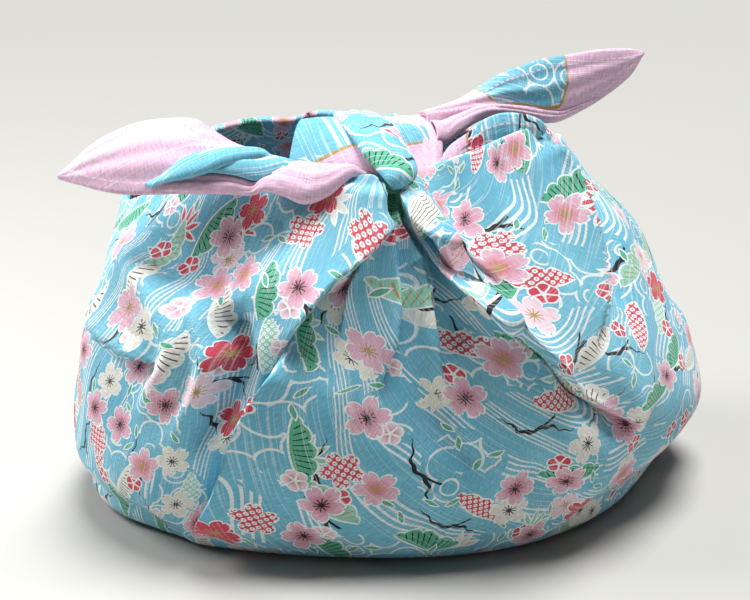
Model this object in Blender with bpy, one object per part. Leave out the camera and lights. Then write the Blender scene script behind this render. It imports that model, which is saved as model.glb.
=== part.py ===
"""Furoshiki wrap: one square of cotton whose four corners are drawn up into a carrying bundle.

The cloth is one solid. Its body is a lofted shell: every station of the STATIONS table is one
run of the cloth from the flat foot over the belly and the shoulder to the rim, and the edge is
turned in all round the mouth. FOLDS lists the main creases. The front and back corners are tied
across the mouth in a knot of flattened strands, and two free ends leave it left and right.
Units are metres, +Z is up, the front faces -Y and the origin is on the resting face.
"""
import math
from collections import namedtuple

import bmesh
import bpy
import numpy as np

MM = 0.001

# Driving sizes
CLOTH_THICKNESS = 2.0 * MM       # the woven ply with its slubs and small air gaps
TURNED_GAP = 2.6 * MM            # between the wall and the edge that is turned in
RIM_RISE = 2.2 * MM              # how far the fold of the rim stands over the wall's top
AXIS_Y = 8.0 * MM                # the upright axis that angles are measured around
FOOT_CENTRE = (0.0, 6.0 * MM)
FOOT_SWEEP = 38.0 * MM           # how far the cloth runs on before it lifts off the ground
FOLD_CLEAR_LOW = 3.0 * MM        # folds die out between these heights, so the foot stays flat
FOLD_CLEAR_HIGH = 16.0 * MM
SLOPE_LIMIT = 1.5                # keeps a wide station from swinging past a narrow one
FOOT_PULL = 1.6                  # how strongly each part of the run holds its direction
BELLY_PULL = 0.52
SHOULDER_PULL = 0.50
RIM_PULL = 0.9
BASE_SPREAD = 0.8                # draws the rows of the foot towards its edge
TYPICAL_RADIUS = 0.12            # turns degrees round the body into a length along it
LIP_RISE = 0.3                   # a rolled edge, in shares of its width and depth
LIP_LOW_WIDTH = 0.6
LIP_DIP = 0.55
RIM_CORNERS = (0.28, 0.72)       # where the fold of the rim turns, in shares of its thickness
LEAST_TURN = 0.6 * MM            # where the turned-in edge starts under the rim
EVENING_ROUNDS = 8
ROWS_BASE = 2
ROWS_BELLY = 5
ROWS_SHOULDER = 6
ROWS_RIM = 5
ROWS_TURNED = 3

Station = namedtuple("Station", "name columns foot belly shoulder rim turned")
Fold = namedtuple("Fold", "name kind width depth fade_in fade_out path")
Strand = namedtuple("Strand", "x y z wide thick roll")
Ply = namedtuple("Ply", "top low swell")

# One run of the cloth from foot to rim in each row, in mm; columns is the share of the loft
# between it and the next row, and turned is how deep the edge is turned in.
STATIONS = [
    Station("front_centre", 6, (8, -88), (8, -122, 58), (3, -108, 140), (0, -84, 198), 6),
    Station("pleat_right", 6, (54, -80), (48, -119, 60), (27, -110, 140), (6, -84, 199), 6),
    Station("roll_right", 6, (92, -62), (98, -102, 62), (58, -108, 138), (12, -82, 202), 8),
    Station("crease_right", 4, (124, -32), (139, -67, 64), (82, -104, 122), (18, -80, 205), 10),
    Station("panel_right", 4, (136, -8), (166, -32, 60), (103, -80, 144), (42, -69, 217), 34),
    Station("panel_ear", 3, (144, 12), (178, 4, 54), (127, -44, 150), (68, -47, 221), 40),
    Station("ear_end", 3, (148, 28), (184, 24, 50), (137, -12, 150), (87, -20, 218), 42),
    Station("right_side", 3, (147, 46), (188, 46, 45), (148, 24, 146), (97, 12, 207), 44),
    Station("right_back", 3, (128, 70), (178, 76, 46), (150, 64, 140), (90, 44, 201), 44),
    Station("back_right", 3, (84, 94), (122, 118, 55), (100, 104, 142), (52, 57, 203), 38),
    Station("back_centre", 3, (12, 104), (15, 136, 60), (14, 120, 144), (4, 50, 206), 14),
    Station("back_left", 3, (-64, 96), (-88, 122, 58), (-70, 108, 142), (-48, 58, 204), 38),
    Station("left_back", 3, (-122, 72), (-155, 82, 46), (-130, 70, 140), (-100, 46, 201), 44),
    Station("left_side", 3, (-148, 34), (-176, 38, 38), (-156, 26, 140), (-134, 15, 190), 44),
    Station("left_end", 4, (-154, -8), (-180, -4, 30), (-162, -16, 136), (-145, -16, 179), 42),
    Station("panel_left_end", 4, (-142, -40), (-166, -54, 36), (-146, -62, 138), (-122, -42, 190), 40),
    Station("panel_left", 5, (-124, -58), (-130, -92, 50), (-102, -96, 140), (-74, -64, 200), 34),
    Station("panel_left_in", 4, (-110, -68), (-100, -108, 60), (-70, -107, 139), (-34, -76, 203), 22),
    Station("crease_left", 6, (-98, -74), (-82, -114, 64), (-52, -111, 138), (-15, -80, 200), 8),
    Station("pleat_left", 6, (-50, -85), (-42, -121, 60), (-22, -112, 141), (-7, -83, 198), 6),
]

# Folds: width and depth in mm, the path as (degrees round from the front, height in mm).
FOLDS = [
    Fold("panel_left_roll", "lip_left", 16, 5, 0.10, 0.25,
         [(-3, 187), (-10, 169), (-15, 161), (-20, 146), (-24, 129), (-25, 112)]),
    Fold("crease_left", "lip_right", 12, 7, 0.20, 0.15,
         [(-22, 136), (-25, 115), (-26, 100), (-29, 82), (-31, 68), (-35, 46), (-40, 28), (-45, 12)]),
    Fold("side_trough", "trough", 15, 7, 0.20, 0.20,
         [(-65, 167), (-58, 159), (-47, 150), (-37, 134), (-29, 124)]),
    Fold("side_hook", "lip_right", 12, 6, 0.15, 0.20,
         [(-69, 133), (-66, 125), (-60, 121), (-54, 115), (-49, 109)]),
    Fold("side_ridge", "ridge", 9, 4, 0.20, 0.20,
         [(-60, 160), (-58, 155), (-51, 144), (-46, 133), (-45, 116)]),
    Fold("s_ridge", "ridge", 10, 6, 0.20, 0.20,
         [(-49, 150), (-47, 145), (-43, 132), (-40, 118), (-39, 105), (-40, 92), (-44, 71), (-50, 53)]),
    Fold("s_valley", "trough", 8, 6, 0.20, 0.20,
         [(-40, 133), (-37, 114), (-37, 106), (-38, 95), (-42, 72), (-47, 52)]),
    Fold("pleat_a_left", "lip_right", 8, 4, 0.10, 0.30,
         [(-3, 190), (-5, 178), (-6, 168), (-8, 158), (-10, 142), (-13, 122)]),
    Fold("pleat_a_right", "lip_left", 7, 4, 0.10, 0.35,
         [(1, 189), (1, 182), (2, 166), (3, 155), (2, 121), (1, 98)]),
    Fold("pleat_b_right", "lip_left", 7, 5, 0.10, 0.30,
         [(3, 190), (4, 180), (8, 169), (11, 162), (10, 150), (11, 136), (13, 121), (16, 102)]),
    Fold("recess", "trough", 9, 4, 0.15, 0.25, [(7, 172), (11, 162), (14, 150), (16, 138), (19, 124)]),
    Fold("soft_valley", "trough", 9, 3, 0.25, 0.30, [(12, 116), (13, 91), (15, 78), (17, 68), (20, 46)]),
    Fold("roll_thin", "ridge", 6, 3, 0.10, 0.35,
         [(3, 191), (10, 176), (16, 164), (22, 150), (27, 137), (31, 124)]),
    Fold("crease_right", "lip_right", 22, 6, 0.10, 0.25,
         [(2, 193), (9, 178), (14, 168), (20, 155), (26, 141), (32, 129), (36, 121), (41, 108), (49, 90),
          (58, 72), (61, 62)]),
    Fold("trough_right", "trough", 12, 4, 0.25, 0.30, [(36, 116), (46, 99), (52, 82), (57, 62)]),
    Fold("roll_upper", "ridge", 9, 4, 0.10, 0.40, [(4, 200), (12, 191), (20, 178), (26, 167), (34, 150)]),
    Fold("ear_ridge", "ridge", 11, 6, 0.00, 0.30,
         [(69, 216), (66, 200), (65, 192), (62, 175), (60, 162), (61, 136), (61, 112)]),
    Fold("right_valley", "trough", 17, 5, 0.10, 0.30, [(88, 206), (82, 180), (78, 150), (77, 108)]),
    Fold("right_back_ridge", "ridge", 15, 6, 0.10, 0.30, [(118, 196), (112, 160), (104, 120), (98, 78)]),
    Fold("right_back_trough", "trough", 13, 6, 0.10, 0.30, [(133, 196), (129, 160), (125, 110), (120, 66)]),
    Fold("back_pleat_right", "lip_left", 14, 5, 0.05, 0.30,
         [(176, 202), (169, 170), (160, 135), (149, 90), (141, 50)]),
    Fold("back_trough", "trough", 10, 4, 0.05, 0.30, [(181, 202), (181, 160), (178, 108)]),
    Fold("back_pleat_left", "lip_right", 14, 5, 0.05, 0.30,
         [(185, 202), (191, 170), (199, 130), (207, 90), (214, 50)]),
    Fold("back_left_ridge", "ridge", 15, 5, 0.10, 0.30, [(223, 196), (226, 150), (232, 100), (238, 60)]),
    Fold("left_back_trough", "trough", 14, 6, 0.10, 0.30, [(250, 190), (252, 150), (256, 100), (262, 55)]),
    Fold("left_end_ridge", "ridge", 14, 5, 0.20, 0.30, [(-80, 170), (-84, 140), (-88, 95), (-92, 50)]),
]

# Strands of the knot, from the back rim over the mouth to the front, in mm and degrees.
KNOT_OVER = [
    Strand(-16, 36, 209, 24, 8, 4), Strand(-11, 6, 221, 24, 11, 8), Strand(-2, -34, 226, 24, 12, 10),
    Strand(7, -68, 220, 21, 12, 14), Strand(11, -88, 206, 17, 9, 18), Strand(9, -90, 193, 12, 6, 12),
]
KNOT_SECOND = [
    Strand(8, 34, 208, 24, 8, -6), Strand(14, 6, 219, 26, 11, -14), Strand(22, -30, 221, 25, 12, -22),
    Strand(25, -60, 212, 20, 11, -26), Strand(17, -79, 199, 14, 8, -16),
]

# Free ends and the neck: a section of the ply in each row, from its top or back edge to its
# low or front edge, in mm, and how far it swells between them.
TAIL_LEFT = [
    Ply((-171, -57, 204), (-171, -59, 201), 1), Ply((-160, -54, 213), (-160, -64, 200), 3),
    Ply((-140, -50, 224), (-140, -71, 199), 5), Ply((-110, -50, 231), (-110, -79, 198), 7),
    Ply((-80, -55, 227), (-80, -86, 197), 8), Ply((-52, -62, 219), (-52, -92, 197), 9),
    Ply((-24, -62, 217), (-24, -93, 198), 9), Ply((4, -58, 212), (4, -88, 200), 7),
]
TAIL_RIGHT = [
    Ply((6, -6, 216), (6, -44, 206), 7), Ply((28, 6, 222), (28, -14, 204), 8),
    Ply((50, 12, 235), (50, 2, 204), 7), Ply((82, 18, 246), (82, 13, 208), 6),
    Ply((106, 25, 250), (106, 24, 214), 5), Ply((128, 31, 251), (128, 31, 230), 3),
    Ply((142, 34, 249), (142, 34, 246), 1),
]
EAR_INNER = [
    Ply((26, -66, 210), (26, -68, 202), 0), Ply((41, -50, 223), (41, -62, 198), 2),
    Ply((64, -28, 228), (64, -45, 196), 3), Ply((79, -16, 224), (79, -29, 196), 2),
    Ply((88, -8, 214), (88, -12, 200), 0),
]
NECK = [
    Ply((-62, 55, 200), (-22, -54, 207), 3), Ply((-48, 57, 203), (-16, -50, 211), 9),
    Ply((-34, 57, 204), (-10, -48, 213), 7), Ply((-18, 56, 205), (-4, -46, 215), 12),
    Ply((-2, 54, 205), (4, -44, 216), 9), Ply((14, 54, 205), (12, -44, 216), 12),
    Ply((30, 55, 204), (20, -46, 214), 7), Ply((44, 55, 204), (28, -48, 211), 9),
    Ply((58, 53, 201), (34, -50, 206), 3),
]
PLY_POINTS = 6
STRAND_POINTS = 10
STEPS_PER_ROW = 2

SKY_BLUE = (0.20, 0.48, 0.66, 1.0)
MATT = 0.8


def smooth(value, low, high):
    """0 below low, 1 above high, and a smooth rise between."""
    part = np.clip((value - low) / (high - low), 0.0, 1.0)
    return part * part * (3.0 - 2.0 * part)


def hermite(start, end, start_slope, end_slope, part):
    """Cubic from start to end, part running from 0 to 1."""
    square, cube = part * part, part * part * part
    return ((2 * cube - 3 * square + 1) * start + (cube - 2 * square + part) * start_slope
            + (3 * square - 2 * cube) * end + (cube - square) * end_slope)


def round_the_stations(values):
    """Values of the stations carried smoothly all the way round, one row for each column."""
    values = np.asarray(values, float)
    shares = np.array([station.columns for station in STATIONS], float)
    before, after = np.roll(shares, 1), shares
    shape = (-1,) + (1,) * (values.ndim - 1)
    back_slope = (values - np.roll(values, 1, axis=0)) / before.reshape(shape)
    next_slope = (np.roll(values, -1, axis=0) - values) / after.reshape(shape)
    weight = (before / (before + after)).reshape(shape)
    slopes = back_slope * (1 - weight) + next_slope * weight
    if values.ndim > 1:
        sizes = [np.linalg.norm(run, axis=-1, keepdims=True) for run in (back_slope, next_slope, slopes)]
        slopes *= np.minimum(1.0, SLOPE_LIMIT * np.minimum(sizes[0], sizes[1]) / np.maximum(sizes[2], 1e-9))
    rows = []
    for index, station in enumerate(STATIONS):
        follow = (index + 1) % len(STATIONS)
        for step in range(station.columns):
            part = step / station.columns
            rows.append(hermite(values[index], values[follow], slopes[index] * station.columns,
                                slopes[follow] * station.columns, part))
    return np.array(rows)


def base_surface():
    """The unfolded cloth as a grid [column, row, xyz] from the foot's centre to the rim."""
    foot = np.array([(*station.foot, 0.0) for station in STATIONS]) * MM
    belly = np.array([station.belly for station in STATIONS]) * MM
    shoulder = np.array([station.shoulder for station in STATIONS]) * MM
    rim = np.array([station.rim for station in STATIONS]) * MM
    foot, belly, shoulder, rim = (round_the_stations(points) for points in (foot, belly, shoulder, rim))
    centre = np.array([*FOOT_CENTRE, 0.0])
    outward = foot - centre
    outward /= np.linalg.norm(outward, axis=1, keepdims=True)
    foot_slope = outward * FOOT_SWEEP * FOOT_PULL
    belly_slope = (shoulder - foot) * BELLY_PULL
    shoulder_slope = (rim - belly) * SHOULDER_PULL
    rim_slope = (rim - shoulder) * RIM_PULL
    rows = []
    for step in range(ROWS_BASE):
        rows.append(centre + (foot - centre) * (step / ROWS_BASE) ** BASE_SPREAD)
    runs = ((foot, belly, foot_slope, belly_slope, ROWS_BELLY),
            (belly, shoulder, belly_slope, shoulder_slope, ROWS_SHOULDER),
            (shoulder, rim, shoulder_slope, rim_slope, ROWS_RIM))
    for start, end, start_slope, end_slope, count in runs:
        for step in range(count):
            rows.append(hermite(start, end, start_slope, end_slope, step / count))
    rows.append(rim)
    grid = np.stack(rows, axis=1)
    grid[:, :, 2] = np.maximum(grid[:, :, 2], 0.0)
    return grid


def grid_normals(grid):
    """Outward normals of a grid that is closed round its columns, evened out between columns."""
    around = np.roll(grid, -1, axis=0) - np.roll(grid, 1, axis=0)
    along = np.gradient(grid, axis=1)
    along[:, 0] = grid[:, 1] - grid[:, 0]
    normals = np.cross(around, along)
    lengths = np.linalg.norm(normals, axis=2, keepdims=True)
    normals = np.where(lengths > 1e-12, normals / np.maximum(lengths, 1e-12), (0.0, 0.0, -1.0))
    for _ in range(EVENING_ROUNDS):
        normals = (np.roll(normals, 1, axis=0) + 2 * normals + np.roll(normals, -1, axis=0)) / 4
    return normals / np.linalg.norm(normals, axis=2, keepdims=True)


def sampled_path(points, steps=10):
    """A smooth run of points through the given ones."""
    points = np.asarray(points, float)
    slopes = np.gradient(points, axis=0)
    parts = np.linspace(0.0, 1.0, steps, endpoint=False)
    run = []
    for index in range(len(points) - 1):
        for part in parts:
            run.append(hermite(points[index], points[index + 1], slopes[index], slopes[index + 1], part))
    run.append(points[-1])
    return np.array(run)


def fold_height(fold, angle, height, radius):
    """How far one fold lifts the cloth at each point, in metres."""
    path = sampled_path(fold.path)
    across = (angle[..., None] - path[:, 0])
    across = (across + 180.0) % 360.0 - 180.0
    across = np.radians(across) * radius[..., None]
    upward = height[..., None] - path[:, 1] * MM
    nearest = np.argmin(across ** 2 + upward ** 2, axis=-1)
    picked = nearest[..., None]
    across = np.take_along_axis(across, picked, -1)[..., 0]
    upward = np.take_along_axis(upward, picked, -1)[..., 0]
    run = np.gradient(path, axis=0)
    run_across = np.radians(run[:, 0]) * TYPICAL_RADIUS
    run_up = run[:, 1] * MM
    length = np.hypot(run_across, run_up)
    side = (across * run_up[nearest] - upward * run_across[nearest]) / length[nearest]
    distance = np.hypot(across, upward)
    signed = np.where(side >= 0, distance, -distance)
    along = nearest / (len(path) - 1)
    strength = smooth(1 - along, 0.0, fold.fade_out)
    if fold.fade_in > 0:
        strength = strength * smooth(along, 0.0, fold.fade_in)
    width = fold.width * MM
    depth = fold.depth * MM
    if fold.kind == "ridge":
        shape = np.exp(-(distance / width) ** 2)
    elif fold.kind == "trough":
        shape = -np.exp(-(distance / width) ** 2)
    elif fold.kind == "lip_left":
        shape = lip(signed, width)
    else:
        shape = lip(-signed, width)
    return shape * depth * strength


def lip(signed, width):
    """A rolled edge: high and soft on its positive side, low and close on the other."""
    rise = smooth(signed, -LIP_RISE * width, LIP_RISE * width)
    high = np.exp(-np.maximum(signed, 0.0) / width)
    low = np.exp(np.minimum(signed, 0.0) / (LIP_LOW_WIDTH * width))
    return rise * high - LIP_DIP * (1.0 - rise) * low


def folded_surface():
    """The cloth with its folds, and the smooth normals that its plies are offset along."""
    base = base_surface()
    normals = grid_normals(base)
    angle = np.degrees(np.arctan2(base[:, :, 0], AXIS_Y - base[:, :, 1]))
    radius = np.hypot(base[:, :, 0], base[:, :, 1] - AXIS_Y)
    lift = np.zeros(angle.shape)
    for fold in FOLDS:
        lift += fold_height(fold, angle, base[:, :, 2], radius)
    lift *= smooth(base[:, :, 2], FOLD_CLEAR_LOW, FOLD_CLEAR_HIGH)
    return base + normals * lift[..., None], normals


def cloth_shell():
    """The body of the wrap as one closed solid: wall, rim and turned-in edge.

    Both sides of the wall are split along the same diagonals, so they never meet in a sharp fold.
    """
    outer, normals = folded_surface()
    columns, rows = outer.shape[:2]
    turned = round_the_stations([[station.turned * MM] for station in STATIONS])[:, 0]
    inner = outer - normals * CLOTH_THICKNESS
    floor = outer[:, :, 2] <= 1e-9
    inner[floor] = outer[floor] + np.array([0.0, 0.0, CLOTH_THICKNESS])
    run_length = np.linalg.norm(np.diff(outer, axis=1), axis=2)
    to_rim = np.cumsum(run_length[:, ::-1], axis=1)[:, ::-1]
    from_rim = np.concatenate([to_rim, np.zeros((columns, 1))], axis=1)

    def point_below_rim(column, depth):
        """Place on the wall and its normal at a depth under the rim, measured on the cloth."""
        place = [np.interp(-depth, -from_rim[column], outer[column, :, axis]) for axis in range(3)]
        facing = [np.interp(-depth, -from_rim[column], normals[column, :, axis]) for axis in range(3)]
        return np.array(place), np.array(facing)

    near = CLOTH_THICKNESS + TURNED_GAP
    far = near + CLOTH_THICKNESS
    bm = bmesh.new()
    pole_out = bm.verts.new((*FOOT_CENTRE, 0.0))
    pole_in = bm.verts.new((*FOOT_CENTRE, CLOTH_THICKNESS))
    rings = []
    for column in range(columns):
        rise = outer[column, -1] - outer[column, -2]
        rise /= np.linalg.norm(rise)
        top = outer[column, -1]
        facing = normals[column, -1]
        run = [outer[column, row] for row in range(1, rows)]
        run.extend(top + rise * RIM_RISE - facing * far * part for part in RIM_CORNERS)
        for step in range(ROWS_TURNED + 1):
            place, out = point_below_rim(column, turned[column] * step / ROWS_TURNED)
            run.append(place - out * far)
        for step in range(ROWS_TURNED, -1, -1):
            depth = turned[column] * step / ROWS_TURNED if step else LEAST_TURN
            place, out = point_below_rim(column, depth)
            run.append(place - out * near)
        run.extend(inner[column, row] for row in range(rows - 1, 0, -1))
        rings.append([bm.verts.new(point) for point in run])
    for column in range(columns):
        left, right = rings[column], rings[(column + 1) % columns]
        bm.faces.new((pole_out, right[0], left[0]))
        for row in range(len(left) - 1):
            corners = (left[row], right[row], right[row + 1], left[row + 1])
            if row >= len(left) - rows:
                corners = corners[1:] + corners[:1]
            bm.faces.new(corners[:3])
            bm.faces.new((corners[0], corners[2], corners[3]))
        bm.faces.new((pole_in, left[-1], right[-1]))
    return bm


def strand_solid(rows):
    """A flattened strand of gathered cloth with closed ends."""
    table = sampled_path(rows, STEPS_PER_ROW)
    centres = table[:, :3] * MM
    runs = np.gradient(centres, axis=0)
    bm = bmesh.new()
    rings = []
    for (_, _, _, wide, thick, roll), centre, run in zip(table, centres, runs):
        run = run / np.linalg.norm(run)
        across = np.cross(run, (0.0, 0.0, 1.0))
        across /= np.linalg.norm(across)
        upward = np.cross(across, run)
        turn = math.radians(roll)
        side = across * math.cos(turn) + upward * math.sin(turn)
        lift = upward * math.cos(turn) - across * math.sin(turn)
        ring = []
        for point in range(STRAND_POINTS):
            swing = 2 * math.pi * point / STRAND_POINTS
            sideways = side * wide * MM / 2 * math.cos(swing)
            upwards = lift * thick * MM / 2 * math.sin(swing)
            ring.append(bm.verts.new(centre + sideways + upwards))
        rings.append(ring)
    close_rings(bm, rings)
    return bm


def ply_solid(rows):
    """A single ply between a top and a low edge, swelling towards the front."""
    table = sampled_path([(*row.top, *row.low, row.swell) for row in rows], STEPS_PER_ROW)
    tops, lows, swells = table[:, :3] * MM, table[:, 3:6] * MM, table[:, 6] * MM
    runs = np.gradient((tops + lows) / 2, axis=0)
    bm = bmesh.new()
    rings = []
    for top, low, swell, run in zip(tops, lows, swells, runs):
        forward = np.cross(run, top - low)
        forward /= np.linalg.norm(forward)
        front, back = [], []
        for point in range(PLY_POINTS):
            part = point / (PLY_POINTS - 1)
            middle = top + (low - top) * part + forward * swell * math.sin(math.pi * part)
            front.append(middle + forward * CLOTH_THICKNESS / 2)
            back.append(middle - forward * CLOTH_THICKNESS / 2)
        rings.append([bm.verts.new(place) for place in front + back[::-1]])
    close_rings(bm, rings)
    return bm


def close_rings(bm, rings):
    """Skin over rings of equal length, with both ends capped."""
    count = len(rings[0])
    for first, second in zip(rings, rings[1:]):
        for point in range(count):
            follow = (point + 1) % count
            bm.faces.new((first[point], second[point], second[follow], first[follow]))
    bm.faces.new(rings[0])
    bm.faces.new(rings[-1][::-1])
    bmesh.ops.recalc_face_normals(bm, faces=bm.faces)


def finished(name, bm):
    """A named object of triangles."""
    bmesh.ops.triangulate(bm, faces=bm.faces)
    mesh = bpy.data.meshes.new(name)
    bm.to_mesh(mesh)
    bm.free()
    item = bpy.data.objects.new(name, mesh)
    bpy.context.collection.objects.link(item)
    return item


def cotton():
    """Printed cotton, sky blue ground."""
    material = bpy.data.materials.new("printed_cotton")
    material.use_nodes = True
    shader = material.node_tree.nodes["Principled BSDF"]
    shader.inputs["Base Color"].default_value = SKY_BLUE
    shader.inputs["Roughness"].default_value = MATT
    shader.inputs["Metallic"].default_value = 0.0
    return material


def join_to(cloth, name, bm):
    """Unite a knotted or free stretch of the same cloth with its body."""
    piece = finished(name, bm)
    piece.hide_render = True
    piece.display_type = "WIRE"
    union = cloth.modifiers.new(name, "BOOLEAN")
    union.operation = "UNION"
    union.object = piece


def main():
    for item in list(bpy.data.objects):
        bpy.data.objects.remove(item, do_unlink=True)
    shell = cloth_shell()
    bmesh.ops.recalc_face_normals(shell, faces=shell.faces)
    cloth = finished("wrap_cloth", shell)
    cloth.data.materials.append(cotton())
    cloth.data.shade_smooth()
    join_to(cloth, "knot_over", strand_solid(KNOT_OVER))
    join_to(cloth, "knot_second", strand_solid(KNOT_SECOND))
    join_to(cloth, "neck", ply_solid(NECK))
    join_to(cloth, "tail_left", ply_solid(TAIL_LEFT))
    join_to(cloth, "tail_right", ply_solid(TAIL_RIGHT))
    join_to(cloth, "ear_inner", ply_solid(EAR_INNER))


main()
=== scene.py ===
"""Furoshiki wrap: a square printed cotton cloth tied into a standing bundle.

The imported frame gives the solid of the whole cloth. Here the same cloth is made again as thin,
folded plies with their hems, turned-in edges, knot and two free ends, dyed with a procedural
print in cloth coordinates. Lengths are in metres unless a table says mm.
"""

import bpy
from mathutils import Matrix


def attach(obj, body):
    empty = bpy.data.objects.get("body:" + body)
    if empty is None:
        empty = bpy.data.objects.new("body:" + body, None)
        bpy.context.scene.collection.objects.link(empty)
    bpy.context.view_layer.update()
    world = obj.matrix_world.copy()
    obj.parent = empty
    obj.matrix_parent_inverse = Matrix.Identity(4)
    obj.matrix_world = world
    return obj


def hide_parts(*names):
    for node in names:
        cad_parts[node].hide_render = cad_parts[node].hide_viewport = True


bl_info = {
    "name": "Furoshiki wrap",
    "version": (1, 0, 0),
    "blender": (4, 5, 0),
    "location": "View3D > Sidebar > Wrap",
    "description": "Builds a knotted wrapping cloth around its solid frame",
    "category": "Object",
}

import math
from collections import namedtuple

import bmesh
import bpy
import numpy as np
from bpy.props import FloatProperty, FloatVectorProperty, PointerProperty
from mathutils import Vector

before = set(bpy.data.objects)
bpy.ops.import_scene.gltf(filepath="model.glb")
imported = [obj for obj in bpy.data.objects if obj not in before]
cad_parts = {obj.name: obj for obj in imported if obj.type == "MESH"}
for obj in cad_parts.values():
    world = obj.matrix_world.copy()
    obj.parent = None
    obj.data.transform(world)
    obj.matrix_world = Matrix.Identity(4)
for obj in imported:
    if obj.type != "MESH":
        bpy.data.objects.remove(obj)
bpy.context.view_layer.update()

MM = 0.001
NODE = "wrap_cloth"

# How finely the loft is made: columns of each station share, rows of each run and their steps,
# the rows that the inner wall keeps and the rows of the turned-in edge
COLUMN_STEPS = 5
ROW_STEPS = 6
ROWS_BASE, ROWS_BELLY, ROWS_SHOULDER, ROWS_RIM = 2, 5, 6, 5
INNER_STRIDE = 6
TURNED_ROWS = 7
PATH_STEPS = 16
PLY_ALONG = 7

# The loft: its upright axis, the middle of its foot and how hard its runs set out
AXIS_Y = 8.0 * MM
FOOT_CENTRE = (0.0, 6.0 * MM)
FOOT_SWEEP = 60.8 * MM
FOOT_CROWDING = 0.8
BELLY_SLOPE, SHOULDER_SLOPE, RIM_SLOPE = 0.52, 0.50, 0.9
SLOPE_LIMIT = 1.5
EVENING_ROUNDS = 60
TINY = 1e-12

# Folds: the heights between which they set in, the softness of a lip's edge as a share of its
# width, its dip beside the edge, how far it leans over its low side and from where on, and how
# cloth that a fold swallows fades out
FOLD_CLEAR = (3.0 * MM, 16.0 * MM)
LIP_EDGE, LIP_REACH, LIP_DIP = 0.16, 0.6, 0.55
OVERHANG = 0.6
LEAN_ALONG = (0.05, 0.35)
SWALLOW_EDGE = 0.2
SWALLOW_REACH = 90.0 * MM

# Small pleats that spread from the knot, in radians from straight down and metres from it
GATHER_HEIGHT = 197.0 * MM
PLEAT_RISE = 1.1
PLEATS_FROM, PLEATS_TO, PLEATS_FADE = math.radians(-25), math.radians(75), 0.3
PLEATS_START = (12 * MM, 30 * MM)
PLEATS_REACH = 48 * MM

# The rim and its turned-in edge, the hem of the free ends and the run of the threads. The rows
# over the rim are given by their share of the way across it and how far on in the cloth they are.
TURNED_GAP = 2.0 * MM
TURNED_DEPTH_SCALE = 1.5
TURNED_TOP = 0.6 * MM
TURNED_MARK = 6.0 * MM
RIM_RISE = 1.6 * MM
RIM_TOP = [(0.2, 2.0 * MM), (0.8, 5.0 * MM)]
HEM_WIDTH = 6.0 * MM
HEM_STEP = 0.35 * MM
WELD = 0.001 * MM
GROUND_REACH = 0.001 * MM
# The pleats of a ply: how far they waver, in radians, how fast from section to section, and the
# least share of their height that is left at its ends; how far on in the print each ply lies
WAVER, WAVER_STEP, PLEAT_END = 0.9, 0.11, 0.02
PRINT_APART = (0.137, 0.091)
GRAIN_TURN = math.radians(-45.0)
FOOT_THREAD = (math.cos(GRAIN_TURN), math.sin(GRAIN_TURN))
TOWARDS_VIEWER = np.array([0.0, -0.8, 0.6])
# Where the cloth has no pink border near it and no edge, in metres
PLAIN_PRINT = -1.0
FAR_FROM_EDGE = 1.0

Wave = namedtuple("Wave", "lift round up shift")
# Lift in mm, waves in radians round the body and for each 100 mm of height
SOFT_WAVES = [Wave(1.2, 7, 3.1, 0.4), Wave(0.9, -11, 4.3, 1.9),
              Wave(0.6, 17, 7.7, 2.6), Wave(0.4, -23, 10.5, 5.1)]
COARSE_PLEATS, FINE_PLEATS = Wave(1.0, 13.0, 0.0, 0.0), Wave(0.5, 29.0, 0.0, 0.7)
PLEAT_DRIFT = Wave(1.1, 3.0, 0.0, 0.0)

CAMERA_PLACE = (-0.00702, -0.95404, 0.42573)
CAMERA_TILT = 72.0
CAMERA_LENS, CAMERA_SENSOR, CAMERA_NEAR = 85.0, 36.0, 0.01
FLOOR_SIZE = 60.0
FLOOR_ROUGHNESS = 0.9
SKY, SKY_STRENGTH = "#EEF2F4", 0.10
Light = namedtuple("Light", "name kind place aim size power")
# Size is the angle in degrees of the wide studio panel, a SUN, and the diameter in metres of the lamp
LIGHTS = [
    Light("studio_panel", "SUN", (0.13, 0.06, 1.2), (0.0, 0.0, 0.0), 28.0, 5.2),
    Light("from_left", "AREA", (-0.9, -0.02, 0.8), (-0.1, 0.0, 0.12), 0.5, 10.0),
]

# How cotton meets the light: typical for cloth, with a little sheen from its loose fibres
COTTON_SURFACE = {"Roughness": 0.82, "IOR": 1.45, "Specular IOR Level": 0.25, "Sheen Weight": 0.16,
                  "Sheen Roughness": 0.5}
WEAVE_BUMP = {"Strength": 0.55, "Distance": 0.22 * MM}

Station = namedtuple("Station", "name columns foot belly shoulder rim turned")
Fold = namedtuple("Fold", "name kind width depth fade_in fade_out swallow path")

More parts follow.
